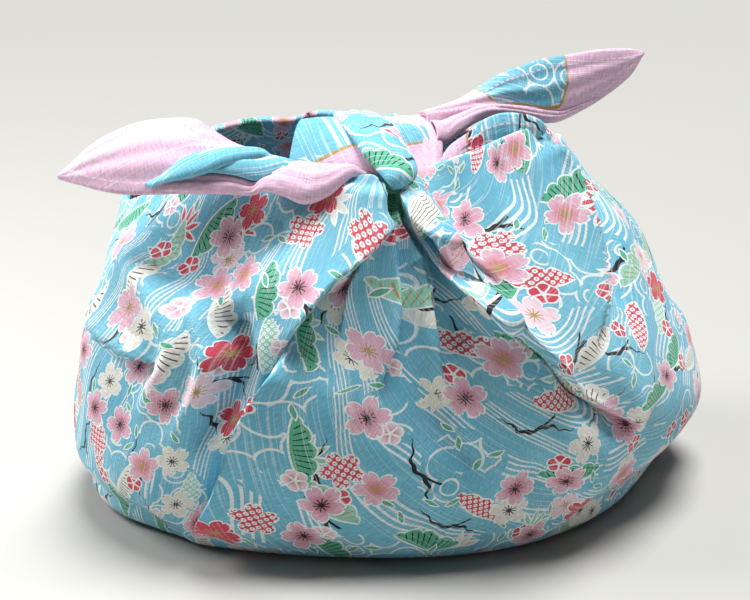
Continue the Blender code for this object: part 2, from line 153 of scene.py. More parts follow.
# One run of the cloth from foot to rim in each row, in mm; columns is the share of the loft
# between it and the next row, and turned is how deep the edge is turned in.
STATIONS = [
    Station("front_centre", 6, (8, -88), (8, -122, 58), (3, -108, 140), (1, -86, 204), 8),
    Station("pleat_right", 6, (54, -80), (48, -119, 60), (27, -110, 140), (4, -86, 204), 8),
    Station("roll_right", 6, (88, -61), (98, -102, 62), (58, -108, 138), (8, -84, 206), 10),
    Station("crease_right", 4, (117, -31), (139, -67, 64), (82, -104, 122), (14, -80, 209), 12),
    Station("panel_right", 4, (128, -8), (166, -32, 60), (103, -80, 144), (42, -69, 217), 34),
    Station("panel_ear", 3, (136, 12), (178, 4, 54), (124, -43, 150), (75, -42, 223), 40),
    Station("ear_end", 3, (140, 28), (184, 24, 50), (137, -12, 150), (91, -20, 217), 42),
    Station("right_side", 3, (139, 45), (188, 46, 45), (148, 24, 146), (97, 12, 207), 44),
    Station("right_back", 3, (128, 70), (178, 76, 46), (150, 64, 140), (90, 44, 201), 44),
    Station("back_right", 3, (84, 94), (122, 118, 55), (100, 104, 142), (52, 57, 203), 38),
    Station("back_centre", 3, (12, 104), (15, 136, 60), (14, 120, 144), (4, 52, 211), 14),
    Station("back_left", 3, (-64, 96), (-88, 122, 58), (-70, 108, 142), (-48, 60, 210), 38),
    Station("left_back", 3, (-122, 72), (-155, 82, 46), (-130, 70, 140), (-98, 48, 206), 44),
    Station("left_side", 3, (-141, 32), (-176, 38, 38), (-156, 26, 140), (-134, 15, 190), 44),
    Station("left_end", 4, (-146, -8), (-180, -4, 30), (-162, -16, 136), (-145, -16, 179), 42),
    Station("panel_left_end", 4, (-134, -38), (-166, -54, 36), (-146, -62, 138), (-122, -42, 190), 40),
    Station("panel_left", 5, (-117, -56), (-130, -92, 50), (-102, -96, 140), (-74, -64, 200), 34),
    Station("panel_left_in", 4, (-106, -66), (-100, -108, 60), (-70, -107, 139), (-28, -82, 207), 22),
    Station("crease_left", 6, (-98, -74), (-82, -114, 64), (-52, -111, 138), (-12, -88, 210), 10),
    Station("pleat_left", 6, (-50, -85), (-42, -121, 60), (-22, -112, 141), (-3, -89, 206), 8),
]

# Folds: width, depth and the cloth swallowed by the fold in mm, the path as (degrees round
# from the front, height in mm).
FOLDS = [
    Fold("panel_left_roll", "lip_left", 18, 13, 0.06, 0.30, 14,
         [(-1, 206), (-2, 194), (-4, 183), (-10, 169), (-15, 161), (-20, 146), (-24, 129), (-25, 112)]),
    Fold("crease_left", "lip_right", 13, 20, 0.20, 0.15, 12,
         [(-22, 136), (-25, 115), (-26, 100), (-29, 82), (-31, 68), (-35, 46), (-40, 28), (-45, 12)]),
    Fold("side_sag", "trough", 16, 8, 0.25, 0.25, 0,
         [(-65, 172), (-56, 165), (-45, 155), (-35, 140), (-30, 124)]),
    Fold("side_pinch", "lip_right", 12, 16, 0.40, 0.40, 6,
         [(-75, 130), (-68, 127), (-61, 122), (-55, 118), (-50, 114), (-45, 111)]),
    Fold("left_s_fold", "ridge", 8, 16, 0.25, 0.30, 0,
         [(-72, 165), (-60, 156), (-53, 147), (-48, 135), (-45, 122), (-46, 108), (-50, 92), (-57, 68)]),
    Fold("right_s_fold", "ridge", 7, 13, 0.25, 0.30, 0,
         [(-54, 158), (-45, 146), (-40, 132), (-38, 118), (-39, 101), (-42, 83), (-47, 60)]),
    Fold("s_valley", "trough", 8, 16, 0.20, 0.25, 0,
         [(-38, 148), (-35, 134), (-33, 120), (-34, 103), (-37, 85), (-41, 66)]),
    Fold("pleat_a_left", "lip_right", 6, 10, 0.35, 0.30, 8,
         [(-2, 196), (-3, 190), (-5, 178), (-6, 168), (-8, 158), (-10, 142), (-13, 122)]),
    Fold("pleat_a_right", "lip_left", 5, 11, 0.25, 0.25, 5,
         [(0, 196), (-1, 189), (-2, 182), (-1, 166), (0, 155), (0, 138), (-1, 121), (-3, 98)]),
    Fold("pleat_b_right", "lip_left", 5, 15, 0.25, 0.25, 6,
         [(2, 196), (3, 190), (3, 180), (6, 169), (8, 162), (8, 150), (9, 136), (11, 121), (14, 102)]),
    Fold("recess", "trough", 8, 10, 0.15, 0.25, 0,
         [(7, 172), (11, 162), (14, 150), (16, 138), (19, 124)]),
    Fold("soft_valley", "trough", 10, 8, 0.25, 0.30, 0,
         [(12, 116), (13, 91), (15, 78), (17, 68), (20, 46)]),
    Fold("roll_thin", "ridge", 4, 6, 0.3, 0.35, 0,
         [(2, 196), (4, 188), (10, 176), (16, 164), (22, 150), (27, 137), (31, 124)]),
    Fold("crease_right", "lip_right", 15, 15, 0.3, 0.25, 16,
         [(1, 197), (4, 189), (9, 178), (14, 168), (20, 155), (26, 141), (32, 129), (36, 121), (41, 108),
          (49, 90), (58, 72), (61, 62)]),
    Fold("trough_right", "trough", 11, 11, 0.25, 0.30, 0, [(36, 116), (46, 99), (52, 82), (57, 62)]),
    Fold("roll_upper", "lip_right", 7, 13, 0.15, 0.45, 6,
         [(2, 199), (6, 191), (11, 184), (17, 176), (24, 166), (32, 153)]),
    Fold("under_roll", "trough", 6, 7, 0.20, 0.40, 0,
         [(5, 189), (9, 181), (15, 172), (22, 161), (30, 147)]),
    Fold("ear_lip", "lip_left", 9, 11, 0.12, 0.35, 4,
         [(61, 218), (62, 209), (62, 196), (60, 184), (58, 166), (56, 155), (53, 138), (50, 127),
          (47, 114)]),
    Fold("right_valley", "trough", 12, 13, 0.12, 0.30, 0,
         [(79, 210), (79, 192), (74, 172), (69, 152), (66, 130), (66, 108)]),
    Fold("right_back_ridge", "ridge", 13, 9, 0.10, 0.30, 0,
         [(130, 196), (125, 160), (118, 120), (112, 78)]),
    Fold("right_back_trough", "trough", 11, 9, 0.10, 0.30, 0,
         [(145, 196), (142, 160), (138, 110), (133, 66)]),
    Fold("back_pleat_right", "lip_left", 12, 10, 0.05, 0.30, 8,
         [(176, 202), (169, 170), (160, 135), (149, 90), (141, 50)]),
    Fold("back_trough", "trough", 8, 8, 0.05, 0.30, 0, [(181, 202), (181, 160), (178, 108)]),
    Fold("back_pleat_left", "lip_right", 12, 10, 0.05, 0.30, 8,
         [(185, 202), (191, 170), (199, 130), (207, 90), (214, 50)]),
    Fold("back_left_ridge", "ridge", 13, 8, 0.10, 0.30, 0,
         [(223, 196), (226, 150), (232, 100), (238, 60)]),
    Fold("left_back_trough", "trough", 12, 9, 0.10, 0.30, 0,
         [(250, 190), (252, 150), (256, 100), (262, 55)]),
    Fold("left_shoulder_dip", "trough", 22, 11, 0.20, 0.40, 0,
         [(-78, 170), (-83, 150), (-87, 128), (-90, 108), (-92, 80)]),
    Fold("foot_tuck_left", "trough", 15, 5, 0.25, 0.25, 0,
         [(-112, 18), (-92, 15), (-76, 13), (-62, 12), (-48, 11)]),
    Fold("foot_tuck_right", "trough", 16, 6, 0.25, 0.25, 0,
         [(44, 13), (56, 15), (70, 17), (86, 19), (104, 20)]),
    Fold("right_shoulder_dip", "trough", 20, 7, 0.20, 0.30, 0,
         [(98, 200), (99, 165), (99, 125), (97, 92)]),
    Fold("left_panel_dip", "trough", 14, 6, 0.20, 0.40, 0,
         [(-28, 192), (-34, 178), (-42, 168), (-52, 160)]),
    Fold("foot_pucker_left", "ridge", 9, 4, 0.30, 0.20, 0, [(-19, 62), (-16, 40), (-12, 16)]),
    Fold("foot_pucker_middle", "trough", 10, 4, 0.30, 0.20, 0, [(2, 66), (6, 42), (12, 16)]),
    Fold("foot_pucker_right", "trough", 9, 4, 0.30, 0.20, 0, [(30, 70), (38, 44), (46, 16)]),
]


def hex_to_linear(text):
    """An sRGB hex value as linear red, green, blue and a full alpha."""
    parts = [int(text[index:index + 2], 16) / 255 for index in (1, 3, 5)]
    linear = [part / 12.92 if part <= 0.04045 else ((part + 0.055) / 1.055) ** 2.4 for part in parts]
    return (*linear, 1.0)


def smooth(value, low, high):
    """0 below low, 1 above high, and a smooth rise between."""
    part = np.clip((value - low) / (high - low), 0.0, 1.0)
    return part * part * (3.0 - 2.0 * part)


def hermite(start, end, start_slope, end_slope, part):
    """Cubic from start to end, part running from 0 to 1."""
    square, cube = part * part, part * part * part
    return ((2 * cube - 3 * square + 1) * start + (cube - 2 * square + part) * start_slope
            + (3 * square - 2 * cube) * end + (cube - square) * end_slope)


def round_the_stations(values):
    """Values of the stations carried smoothly all the way round, one row for each column."""
    values = np.asarray(values, float)
    shares = np.array([station.columns for station in STATIONS], float)
    before, after = np.roll(shares, 1)[:, None], shares[:, None]
    back_slope = (values - np.roll(values, 1, axis=0)) / before
    next_slope = (np.roll(values, -1, axis=0) - values) / after
    weight = before / (before + after)
    slopes = back_slope * (1 - weight) + next_slope * weight
    if values.shape[1] > 1:
        back_size, next_size, size = (np.linalg.norm(run, axis=-1, keepdims=True)
                                      for run in (back_slope, next_slope, slopes))
        limit = SLOPE_LIMIT * np.minimum(back_size, next_size) / np.maximum(size, TINY)
        slopes *= np.minimum(1.0, limit)
    rows = []
    for index, station in enumerate(STATIONS):
        follow = (index + 1) % len(STATIONS)
        for step in range(station.columns * COLUMN_STEPS):
            part = step / (station.columns * COLUMN_STEPS)
            rows.append(hermite(values[index], values[follow], slopes[index] * station.columns,
                                slopes[follow] * station.columns, part))
    return np.array(rows)


def base_surface():
    """The unfolded cloth as a grid [column, row, xyz] from the foot's centre to the rim."""
    levels = zip(*[((*station.foot, 0.0), station.belly, station.shoulder, station.rim)
                   for station in STATIONS])
    foot, belly, shoulder, rim = (round_the_stations(np.array(points) * MM) for points in levels)
    centre = np.array([*FOOT_CENTRE, 0.0])
    outward = foot - centre
    outward /= np.linalg.norm(outward, axis=1, keepdims=True)
    foot_slope = outward * FOOT_SWEEP
    belly_slope = (shoulder - foot) * BELLY_SLOPE
    shoulder_slope = (rim - belly) * SHOULDER_SLOPE
    rim_slope = (rim - shoulder) * RIM_SLOPE
    rows = []
    for step in range(ROWS_BASE * ROW_STEPS):
        rows.append(centre + (foot - centre) * (step / (ROWS_BASE * ROW_STEPS)) ** FOOT_CROWDING)
    runs = ((foot, belly, foot_slope, belly_slope, ROWS_BELLY),
            (belly, shoulder, belly_slope, shoulder_slope, ROWS_SHOULDER),
            (shoulder, rim, shoulder_slope, rim_slope, ROWS_RIM))
    for start, end, start_slope, end_slope, count in runs:
        for step in range(count * ROW_STEPS):
            rows.append(hermite(start, end, start_slope, end_slope, step / (count * ROW_STEPS)))
    rows.append(rim)
    grid = np.stack(rows, axis=1)
    grid[:, :, 2] = np.maximum(grid[:, :, 2], 0.0)
    return grid


def grid_normals(grid):
    """Outward normals of a grid that is closed round its columns, evened out between columns."""
    around = np.roll(grid, -1, axis=0) - np.roll(grid, 1, axis=0)
    along = np.gradient(grid, axis=1)
    along[:, 0] = grid[:, 1] - grid[:, 0]
    normals = np.cross(around, along)
    lengths = np.linalg.norm(normals, axis=2, keepdims=True)
    normals = np.where(lengths > TINY, normals / np.maximum(lengths, TINY), (0.0, 0.0, -1.0))
    for _ in range(EVENING_ROUNDS):
        normals = (np.roll(normals, 1, axis=0) + 2 * normals + np.roll(normals, -1, axis=0)) / 4
    return normals / np.linalg.norm(normals, axis=2, keepdims=True)


def sampled_path(points, steps=10):
    """A smooth run of points through the given ones."""
    points = np.asarray(points, float)
    slopes = np.gradient(points, axis=0)
    parts = np.linspace(0.0, 1.0, steps, endpoint=False)
    run = []
    for index in range(len(points) - 1):
        for part in parts:
            run.append(hermite(points[index], points[index + 1], slopes[index], slopes[index + 1], part))
    run.append(points[-1])
    return np.array(run)


def lip(signed, width):
    """A rolled edge: high and soft on its positive side, low and close on the other."""
    rise = smooth(signed, -LIP_EDGE * width, LIP_EDGE * width)
    high = rise * np.exp(-np.maximum(signed, 0.0) / width)
    low = np.exp(np.minimum(signed, 0.0) / (LIP_REACH * width))
    return high - LIP_DIP * (1.0 - rise) * low, high


def fold_lift(fold, angle, height, radius):
    """What one fold does to the cloth at each point: how far it lifts it, how far its lip leans
    over its low side (round, up) and how much cloth it has taken in."""
    path = sampled_path(fold.path, PATH_STEPS)
    across = (angle[..., None] - path[:, 0] + 180.0) % 360.0 - 180.0
    across = np.radians(across) * radius[..., None]
    upward = height[..., None] - path[:, 1] * MM
    nearest = np.argmin(across ** 2 + upward ** 2, axis=-1)
    across = np.take_along_axis(across, nearest[..., None], -1)[..., 0]
    upward = np.take_along_axis(upward, nearest[..., None], -1)[..., 0]
    run = np.gradient(path, axis=0)
    run_across, run_up = np.radians(run[:, 0])[nearest] * radius, run[nearest, 1] * MM
    length = np.hypot(run_across, run_up)
    run_across, run_up = run_across / length, run_up / length
    past_end = across * run_across + upward * run_up
    past_end = (np.where(nearest == 0, np.minimum(past_end, 0.0), 0.0)
                + np.where(nearest == len(path) - 1, np.maximum(past_end, 0.0), 0.0))
    signed = across * run_up - upward * run_across
    distance = np.hypot(signed, past_end)
    along = nearest / (len(path) - 1)
    strength = smooth(1 - along, 0.0, fold.fade_out)
    if fold.fade_in > 0:
        strength = strength * smooth(along, 0.0, fold.fade_in)
    width, depth = fold.width * MM, fold.depth * MM * strength
    taken = fold.swallow * MM * smooth(-signed, -SWALLOW_EDGE * width, SWALLOW_EDGE * width) * strength
    taken = taken * np.exp(-(distance / SWALLOW_REACH) ** 2)
    if fold.kind in ("ridge", "trough"):
        shape = np.exp(-(distance / width) ** 2) * (1.0 if fold.kind == "ridge" else -1.0)
        return shape * depth, 0.0 * depth, 0.0 * depth, taken
    facing = 1.0 if fold.kind == "lip_left" else -1.0
    shape, high = lip(signed * facing, width)
    depth = depth * np.exp(-(past_end / width) ** 2)
    lean = -facing * OVERHANG * depth * high * smooth(along, *LEAN_ALONG)
    return shape * depth, lean * run_up, -lean * run_across, taken


def fine_unevenness(angle, height, radius):
    """Small pleats that spread from the knot, and the soft unevenness of the rest of the cloth."""
    across = np.radians(angle) * radius
    upward = height - GATHER_HEIGHT
    distance = np.hypot(across, upward)
    spread = np.arctan2(across, -upward)
    drift = PLEAT_DRIFT.lift * np.sin(PLEAT_DRIFT.round * spread)
    pleats = (COARSE_PLEATS.lift * np.sin(COARSE_PLEATS.round * spread + drift)
              + FINE_PLEATS.lift * np.sin(FINE_PLEATS.round * spread + FINE_PLEATS.shift))
    pleats *= smooth(distance, *PLEATS_START) * np.exp(-(distance / PLEATS_REACH) ** 2)
    for edge, place in ((PLEATS_FROM, spread), (-PLEATS_TO, -spread)):
        pleats *= smooth(place, edge, edge + PLEATS_FADE)
    turn = np.radians(angle)
    soft = np.zeros(angle.shape)
    for wave in SOFT_WAVES:
        soft += wave.lift * np.sin(wave.round * turn + wave.up * height / 0.1 + wave.shift)
    return (pleats * PLEAT_RISE + soft) * MM


def folded_surface():
    """The cloth before and after its folds, the normals its plies are offset along, and the cloth
    that the folds have taken in."""
    base = base_surface()
    normals = grid_normals(base)
    angle = np.degrees(np.arctan2(base[:, :, 0], AXIS_Y - base[:, :, 1]))
    radius = np.hypot(base[:, :, 0], base[:, :, 1] - AXIS_Y)
    height = base[:, :, 2]
    lift = fine_unevenness(angle, height, radius)
    lean_round, lean_up, taken = (np.zeros(angle.shape) for _ in range(3))
    for fold in FOLDS:
        parts = fold_lift(fold, angle, height, radius)
        lift, lean_round, lean_up, taken = (whole + part for whole, part
                                            in zip((lift, lean_round, lean_up, taken), parts))
    clear = smooth(height, *FOLD_CLEAR)
    turn = np.radians(angle)
    around = np.stack([np.cos(turn), np.sin(turn), np.zeros(turn.shape)], axis=2)
    uphill = np.cross(normals, around)
    moved = normals * lift[..., None] + around * lean_round[..., None] + uphill * lean_up[..., None]
    return base, base + moved * clear[..., None], normals, taken


def column_of(name):
    """First column of a station."""
    count = 0
    for station in STATIONS:
        if station.name == name:
            return count * COLUMN_STEPS
        count += station.columns
    raise RuntimeError(f"no station is named {name}")


PlyPiece = namedtuple("PlyPiece",
                      "name part rows arc pleats pleat_rise across thread hemmed strewn border")
PLY_COLUMNS, PLY_MIDDLE, FLAT_ARC = 8, 0.5, 180

# The knot, the neck of gathered cloth behind it and the free ends. Each row is one section of a
# ply: x, y, z of its top or left edge and of its low or right edge, how far it swells between
# them, all in mm, and where along the section it swells most, if not in its middle.
KNOT_OVER = [
    (-19, 49, 203, -3, 50, 203, 0), (-23, 26, 214, -7, 28, 214, 1), (-28, -2, 219, -9, 0, 219, 1),
    (-29, -26, 228, -9, -24, 228, 1), (-27, -42, 230, -5, -38, 230, 2),
    (-20, -58, 225, 3, -50, 226, 3, 0.4), (-14, -70, 219, 8, -61, 220, 4, 0.4),
    (-7, -80, 213, 12, -71, 215, 4, 0.4), (-1, -88, 208, 14, -79, 210, 4, 0.45),
    (2, -87, 203, 10, -81, 205, 2),
]
KNOT_SECOND = [
    (-6, 49, 203, 14, 50, 203, 0), (-12, 26, 212, 14, 29, 213, 1), (-15, 2, 217, 17, 8, 218, 1),
    (-15, -24, 223, 20, -14, 224, 1), (-11, -37, 225, 26, -26, 225, 2),
    (-3, -48, 220, 27, -35, 221, 3, 0.6), (4, -57, 214, 28, -44, 215, 3, 0.6),
    (9, -66, 209, 27, -53, 210, 3, 0.6), (13, -74, 205, 26, -62, 207, 2), (15, -73, 202, 22, -63, 203, 1),
]
NECK = [
    (-26, 46, 202, -52, -58, 207, 21, 0.78), (-22, 48, 202, -40, -64, 207, 23, 0.77),
    (-14, 50, 202, -24, -70, 208, 23, 0.76), (-6, 50, 202, -9, -74, 208, 22, 0.76),
    (6, 50, 202, 6, -70, 208, 20, 0.76), (18, 48, 202, 20, -58, 209, 17, 0.74),
    (28, 46, 202, 29, -46, 206, 12, 0.66),
]
STRAND_LEFT = [
    (-12, -78, 209, -13, -80, 206, 1), (-20, -82, 213, -19, -88, 210, 3),
    (-30, -82, 214, -30, -93, 202, 5), (-39, -80, 214, -42, -95, 198, 6),
    (-47, -78, 214, -53, -94, 202, 5), (-58, -80, 209, -62, -92, 204, 4),
    (-66, -84, 206, -70, -90, 201, 2), (-77, -82, 210, -81, -88, 201, 3),
    (-90, -78, 210, -95, -86, 201, 3), (-106, -76, 207, -111, -82, 201, 2),
    (-122, -72, 203, -124, -78, 198, 1),
]
TAIL_LEFT = [
    (-65, -66, 217, -65, -76, 204, 4), (-79, -62, 220, -78, -78, 203, 6),
    (-92, -58, 227, -93, -82, 200, 7), (-100, -54, 231, -103, -82, 200, 8),
    (-113, -52, 231, -119, -80, 199, 8), (-129, -52, 229, -135, -76, 198, 7),
    (-143, -54, 224, -148, -72, 199, 5), (-155, -56, 217, -156, -68, 200, 4),
    (-164, -58, 209, -164, -64, 201, 2), (-171, -60, 203, -171, -61, 202, 1),
]
TAIL_LEFT_FOLD = [
    (-60, -76, 217, -61, -80, 217, 1), (-66, -76, 220, -66, -82, 219, 2),
    (-78, -76, 220, -82, -87, 216, 4), (-94, -76, 219, -92, -88, 212, 4),
    (-105, -76, 214, -102, -87, 209, 4), (-115, -78, 206, -114, -84, 206, 2),
    (-124, -78, 203, -122, -81, 202, 1),
]
STRAND_BLUE = [
    (-47, -76, 214, -47, -79, 213, 1), (-58, -76, 216, -53, -85, 212, 3),
    (-66, -74, 219, -65, -88, 208, 4), (-76, -76, 217, -77, -88, 211, 4),
    (-85, -77, 213, -89, -86, 212, 2), (-90, -77, 211, -91, -81, 210, 1),
]
STRAND_RIGHT = [
    (22, -34, 226, 25, -44, 218, 3), (28, -30, 225, 31, -38, 216, 4), (37, -22, 226, 39, -32, 221, 4),
    (51, -8, 228, 52, -14, 224, 4), (67, 2, 226, 68, -2, 222, 4), (84, 12, 223, 86, 8, 217, 4),
    (99, 18, 222, 97, 14, 217, 3), (110, 22, 226, 110, 20, 222, 2), (120, 26, 230, 120, 25, 227, 1),
]
TAIL_RIGHT = [
    (17, -26, 229, 21, -34, 225, 3), (28, -16, 230, 31, -24, 224, 4), (39, -6, 232, 43, -14, 224, 5),
    (50, 2, 237, 55, -4, 224, 5), (62, 8, 243, 68, 4, 223, 5), (73, 13, 246, 83, 10, 218, 5),
    (84, 17, 249, 94, 14, 216, 5), (101, 22, 251, 108, 20, 221, 4), (118, 26, 253, 120, 25, 227, 3),
    (133, 30, 253, 135, 30, 238, 2), (143, 34, 251, 143, 34, 250, 1),
]
EAR = [
    (27, -60, 211, 27, -62, 207, 0), (32, -54, 217, 33, -60, 208, 1), (42, -49, 223, 41, -54, 210, 1),
    (50, -46, 229, 51, -50, 213, 2), (60, -44, 232, 61, -47, 215, 2), (71, -42, 231, 70, -44, 217, 2),
    (79, -41, 228, 77, -42, 219, 1), (83, -40, 224, 82, -40, 221, 0),
]

# Arc is how far round the section is rolled in degrees, 180 for a flat ply. Thread is the angle of
# the threads to its run in degrees, strewn tells where the cloth has blossoms. Border is how far,
# in mm, the plain pink border reaches past a place: (share of the run, at the top edge, at the
# low edge), less than 0 where the print shows.
PRINT_ONLY = [(0.0, -50, -50), (1.0, -50, -50)]
PINK_ONLY = [(0.0, 50, 50), (1.0, 50, 50)]
PLY_PIECES = [
    PlyPiece("neck", "knot", NECK, 180, 5, 1.2, 28, 70, False, 0,
             [(0.0, -100, -2), (0.08, -100, 0), (0.37, -100, 9), (1.0, -100, 9)]),
    PlyPiece("knot_second", "knot", KNOT_SECOND, 235, 4, 1.0, 26, 20, False, 0, PINK_ONLY),
    PlyPiece("knot_over", "knot", KNOT_OVER, 225, 3, 0.7, 26, 62, False, 1, PRINT_ONLY),
    PlyPiece("strand_left", "ends", STRAND_LEFT, 215, 3, 0.7, 22, 85, False, 0,
             [(0.0, 10, 10), (0.42, 10, 10), (0.5, -1, 12), (0.85, -1, 10), (1.0, 3, 8)]),
    PlyPiece("strand_blue", "ends", STRAND_BLUE, 200, 2, 0.5, 16, 10, False, 0, PRINT_ONLY),
    PlyPiece("tail_left", "ends", TAIL_LEFT, 180, 3, 0.7, 30, 20, True, 0, PINK_ONLY),
    PlyPiece("tail_left_fold", "ends", TAIL_LEFT_FOLD, 200, 1, 0.5, 16, 10, False, 0, PRINT_ONLY),
    PlyPiece("strand_right", "ends", STRAND_RIGHT, 215, 3, 0.7, 20, 20, False, 0, PINK_ONLY),
    PlyPiece("tail_right", "ends", TAIL_RIGHT, 180, 3, 0.7, 30, 20, True, 0,
             [(0.0, 6, 6), (0.25, 6, 6), (0.36, -14, 4), (0.60, -16, 5), (0.72, 8, 8), (1.0, 20, 20)]),
    PlyPiece("ear", "ends", EAR, 180, 0, 0.0, 20, 88, True, 1,
             [(0.0, 14, 14), (0.28, 0, 0), (1.0, -45, -45)]),
]


class ClothMesh:
    """Points, faces and cloth coordinates of one stretch of the cloth."""

    def __init__(self):
        self.points, self.faces = [], []
        self.print_uv, self.grain_uv = [], []
        self.border, self.hem, self.thread, self.strewn = [], [], [], []

    def grid(self, places, print_uv, grain_uv, border, hem, thread, strewn, closed):
        """Adds a grid of points [along, across] as quads; closed joins the last column to the first."""
        along, across = places.shape[:2]
        start = len(self.points)
        self.points.extend(map(tuple, places.reshape(-1, 3)))
        self.border.extend(border.reshape(-1))
        self.hem.extend(hem.reshape(-1))
        self.thread.extend(map(tuple, thread.reshape(-1, 2)))
        self.strewn.extend([strewn] * (along * across))
        count = along if closed else along - 1
        for column in range(count):
            follow = (column + 1) % along
            for row in range(across - 1):
                self.faces.append((start + column * across + row, start + follow * across + row,
                                   start + follow * across + row + 1, start + column * across + row + 1))
                for right, up in ((0, 0), (1, 0), (1, 1), (0, 1)):
                    self.print_uv.append(tuple(print_uv[column + right, row + up]))
                    self.grain_uv.append(tuple(grain_uv[column + right, row + up]))

    def finished(self, name):
        """A closed mesh object with its cloth coordinates as UV maps and attributes."""
        mesh = bpy.data.meshes.new(name)
        mesh.from_pydata(self.points, [], self.faces)
        for label, values in (("print", self.print_uv), ("grain", self.grain_uv)):
            layer = mesh.uv_layers.new(name=label)
            layer.data.foreach_set("uv", np.array(values, np.float32).ravel())
        for label, values in (("border", self.border), ("hem", self.hem), ("strewn", self.strewn)):
            layer = mesh.attributes.new(label, "FLOAT", "POINT")
            layer.data.foreach_set("value", np.array(values, np.float32))
        thread = np.zeros((len(self.thread), 3), np.float32)
        thread[:, :2] = self.thread
        mesh.attributes.new("thread", "FLOAT_VECTOR", "POINT").data.foreach_set("vector", thread.ravel())
        shape = bmesh.new()
        shape.from_mesh(mesh)
        bmesh.ops.remove_doubles(shape, verts=shape.verts, dist=WELD)
        bmesh.ops.recalc_face_normals(shape, faces=shape.faces)
        shape.to_mesh(mesh)
        shape.free()
        mesh.shade_smooth()
        item = bpy.data.objects.new(name, mesh)
        bpy.context.collection.objects.link(item)
        return item


def body_cloth(settings):
    """The standing body: outer wall, rim, turned-in edge and inner wall, as one closed stretch."""
    base, outer, normals, taken = folded_surface()
    columns, rows = outer.shape[:2]
    seam = column_of("back_centre")
    base, outer, normals, taken = (np.roll(run, -seam, axis=0) for run in (base, outer, normals, taken))
    front = (column_of("front_centre") - seam) % columns
    u, v, sheet, turn = cloth_coordinates(base, front)
    u = u + np.concatenate([taken, taken[:1]], axis=0)
    thick = settings.cloth_thickness
    turned = [[station.turned * MM * TURNED_DEPTH_SCALE] for station in STATIONS]
    turned = np.roll(round_the_stations(turned)[:, 0], -seam)
    run_length = np.linalg.norm(np.diff(outer, axis=1), axis=2)
    from_rim = np.pad(np.cumsum(run_length[:, ::-1], axis=1)[:, ::-1], ((0, 0), (0, 1)))
    near, far = thick + TURNED_GAP, 2 * thick + TURNED_GAP
    inner_rows = list(range(rows - 1 - INNER_STRIDE, 0, -INNER_STRIDE)) + [1]
    edge_rows = len(RIM_TOP) + 2 * (TURNED_ROWS + 1)
    ring_count = rows - 1 + edge_rows + len(inner_rows)
    places = np.zeros((columns, ring_count, 3))
    depth_v = np.zeros((columns, ring_count))
    for column in range(columns):
        rise = outer[column, -1] - outer[column, -2]
        rise /= np.linalg.norm(rise)
        top, facing = outer[column, -1], normals[column, -1]
        run = list(outer[column, 1:])
        run += [top + rise * RIM_RISE - facing * far * part for part, _ in RIM_TOP]
        marks = list(v[column, 1:]) + [v[column, -1] + mark for _, mark in RIM_TOP]
        steps = np.linspace(0.0, 1.0, TURNED_ROWS + 1) * turned[column]
        for side, depths in ((far, steps), (near, np.maximum(steps[::-1], TURNED_TOP))):
            for depth in depths:
                place, out = (
                    np.array([np.interp(-depth, -from_rim[column], axis) for axis in grid[column].T])
                    for grid in (outer, normals))
                run.append(place - out * side)
                marks.append(v[column, -1] + TURNED_MARK + depth)
        for row in inner_rows:
            on_ground = outer[column, row, 2] <= GROUND_REACH
            inward = np.array([0.0, 0.0, 1.0]) if on_ground else -normals[column, row]
            run.append(outer[column, row] + inward * thick)
            marks.append(v[column, row])
        places[column] = run
        depth_v[column] = marks
    depth_v = np.concatenate([depth_v, depth_v[:1]], axis=0)
    source_rows = list(range(1, rows)) + [rows - 1] * edge_rows + inner_rows
    print_uv = np.stack([u[:, source_rows], depth_v], axis=2)
    distance = sheet[:, source_rows] + (depth_v - v[:, source_rows])
    grain_uv = np.stack([distance * np.sin(turn)[:, None], distance * np.cos(turn)[:, None]], axis=2)
    thread = np.stack([np.cos(turn[:-1]), np.sin(turn[:-1])], axis=1)
    thread = np.repeat(thread[:, None, :], ring_count, axis=1)
    cloth = ClothMesh()
    border, hem = np.full(places.shape[:2], PLAIN_PRINT), np.full(places.shape[:2], FAR_FROM_EDGE)
    cloth.grid(places, print_uv, grain_uv, border, hem, thread, 1.0, True)
    cap_foot(cloth, columns, ring_count, thick)
    lay_foot_print(cloth, thick)
    return cloth


def cap_foot(cloth, columns, ring_count, thick):
    """Closes the foot outside and inside with a fan round its centre."""
    for height, row in ((0.0, 0), (thick, ring_count - 1)):
        pole = len(cloth.points)
        cloth.points.append((*FOOT_CENTRE, height))
        cloth.border.append(PLAIN_PRINT)
        cloth.hem.append(FAR_FROM_EDGE)
        cloth.thread.append(FOOT_THREAD)
        cloth.strewn.append(1.0)
        for column in range(columns):
            follow = (column + 1) % columns
            cloth.faces.append((pole, follow * ring_count + row, column * ring_count + row))
            cloth.print_uv.extend([(0.0, 0.0)] * 3)
            cloth.grain_uv.extend([(0.0, 0.0)] * 3)


def lay_foot_print(cloth, thick):
    """Gives the faces that lie on the ground the print of a flat cloth."""
    corner = 0
    for face in cloth.faces:
        flat = all(cloth.points[index][2] <= thick + GROUND_REACH for index in face)
        for index in face:
            if flat:
                cloth.print_uv[corner] = cloth.grain_uv[corner] = cloth.points[index][:2]
                cloth.thread[index] = FOOT_THREAD
            corner += 1


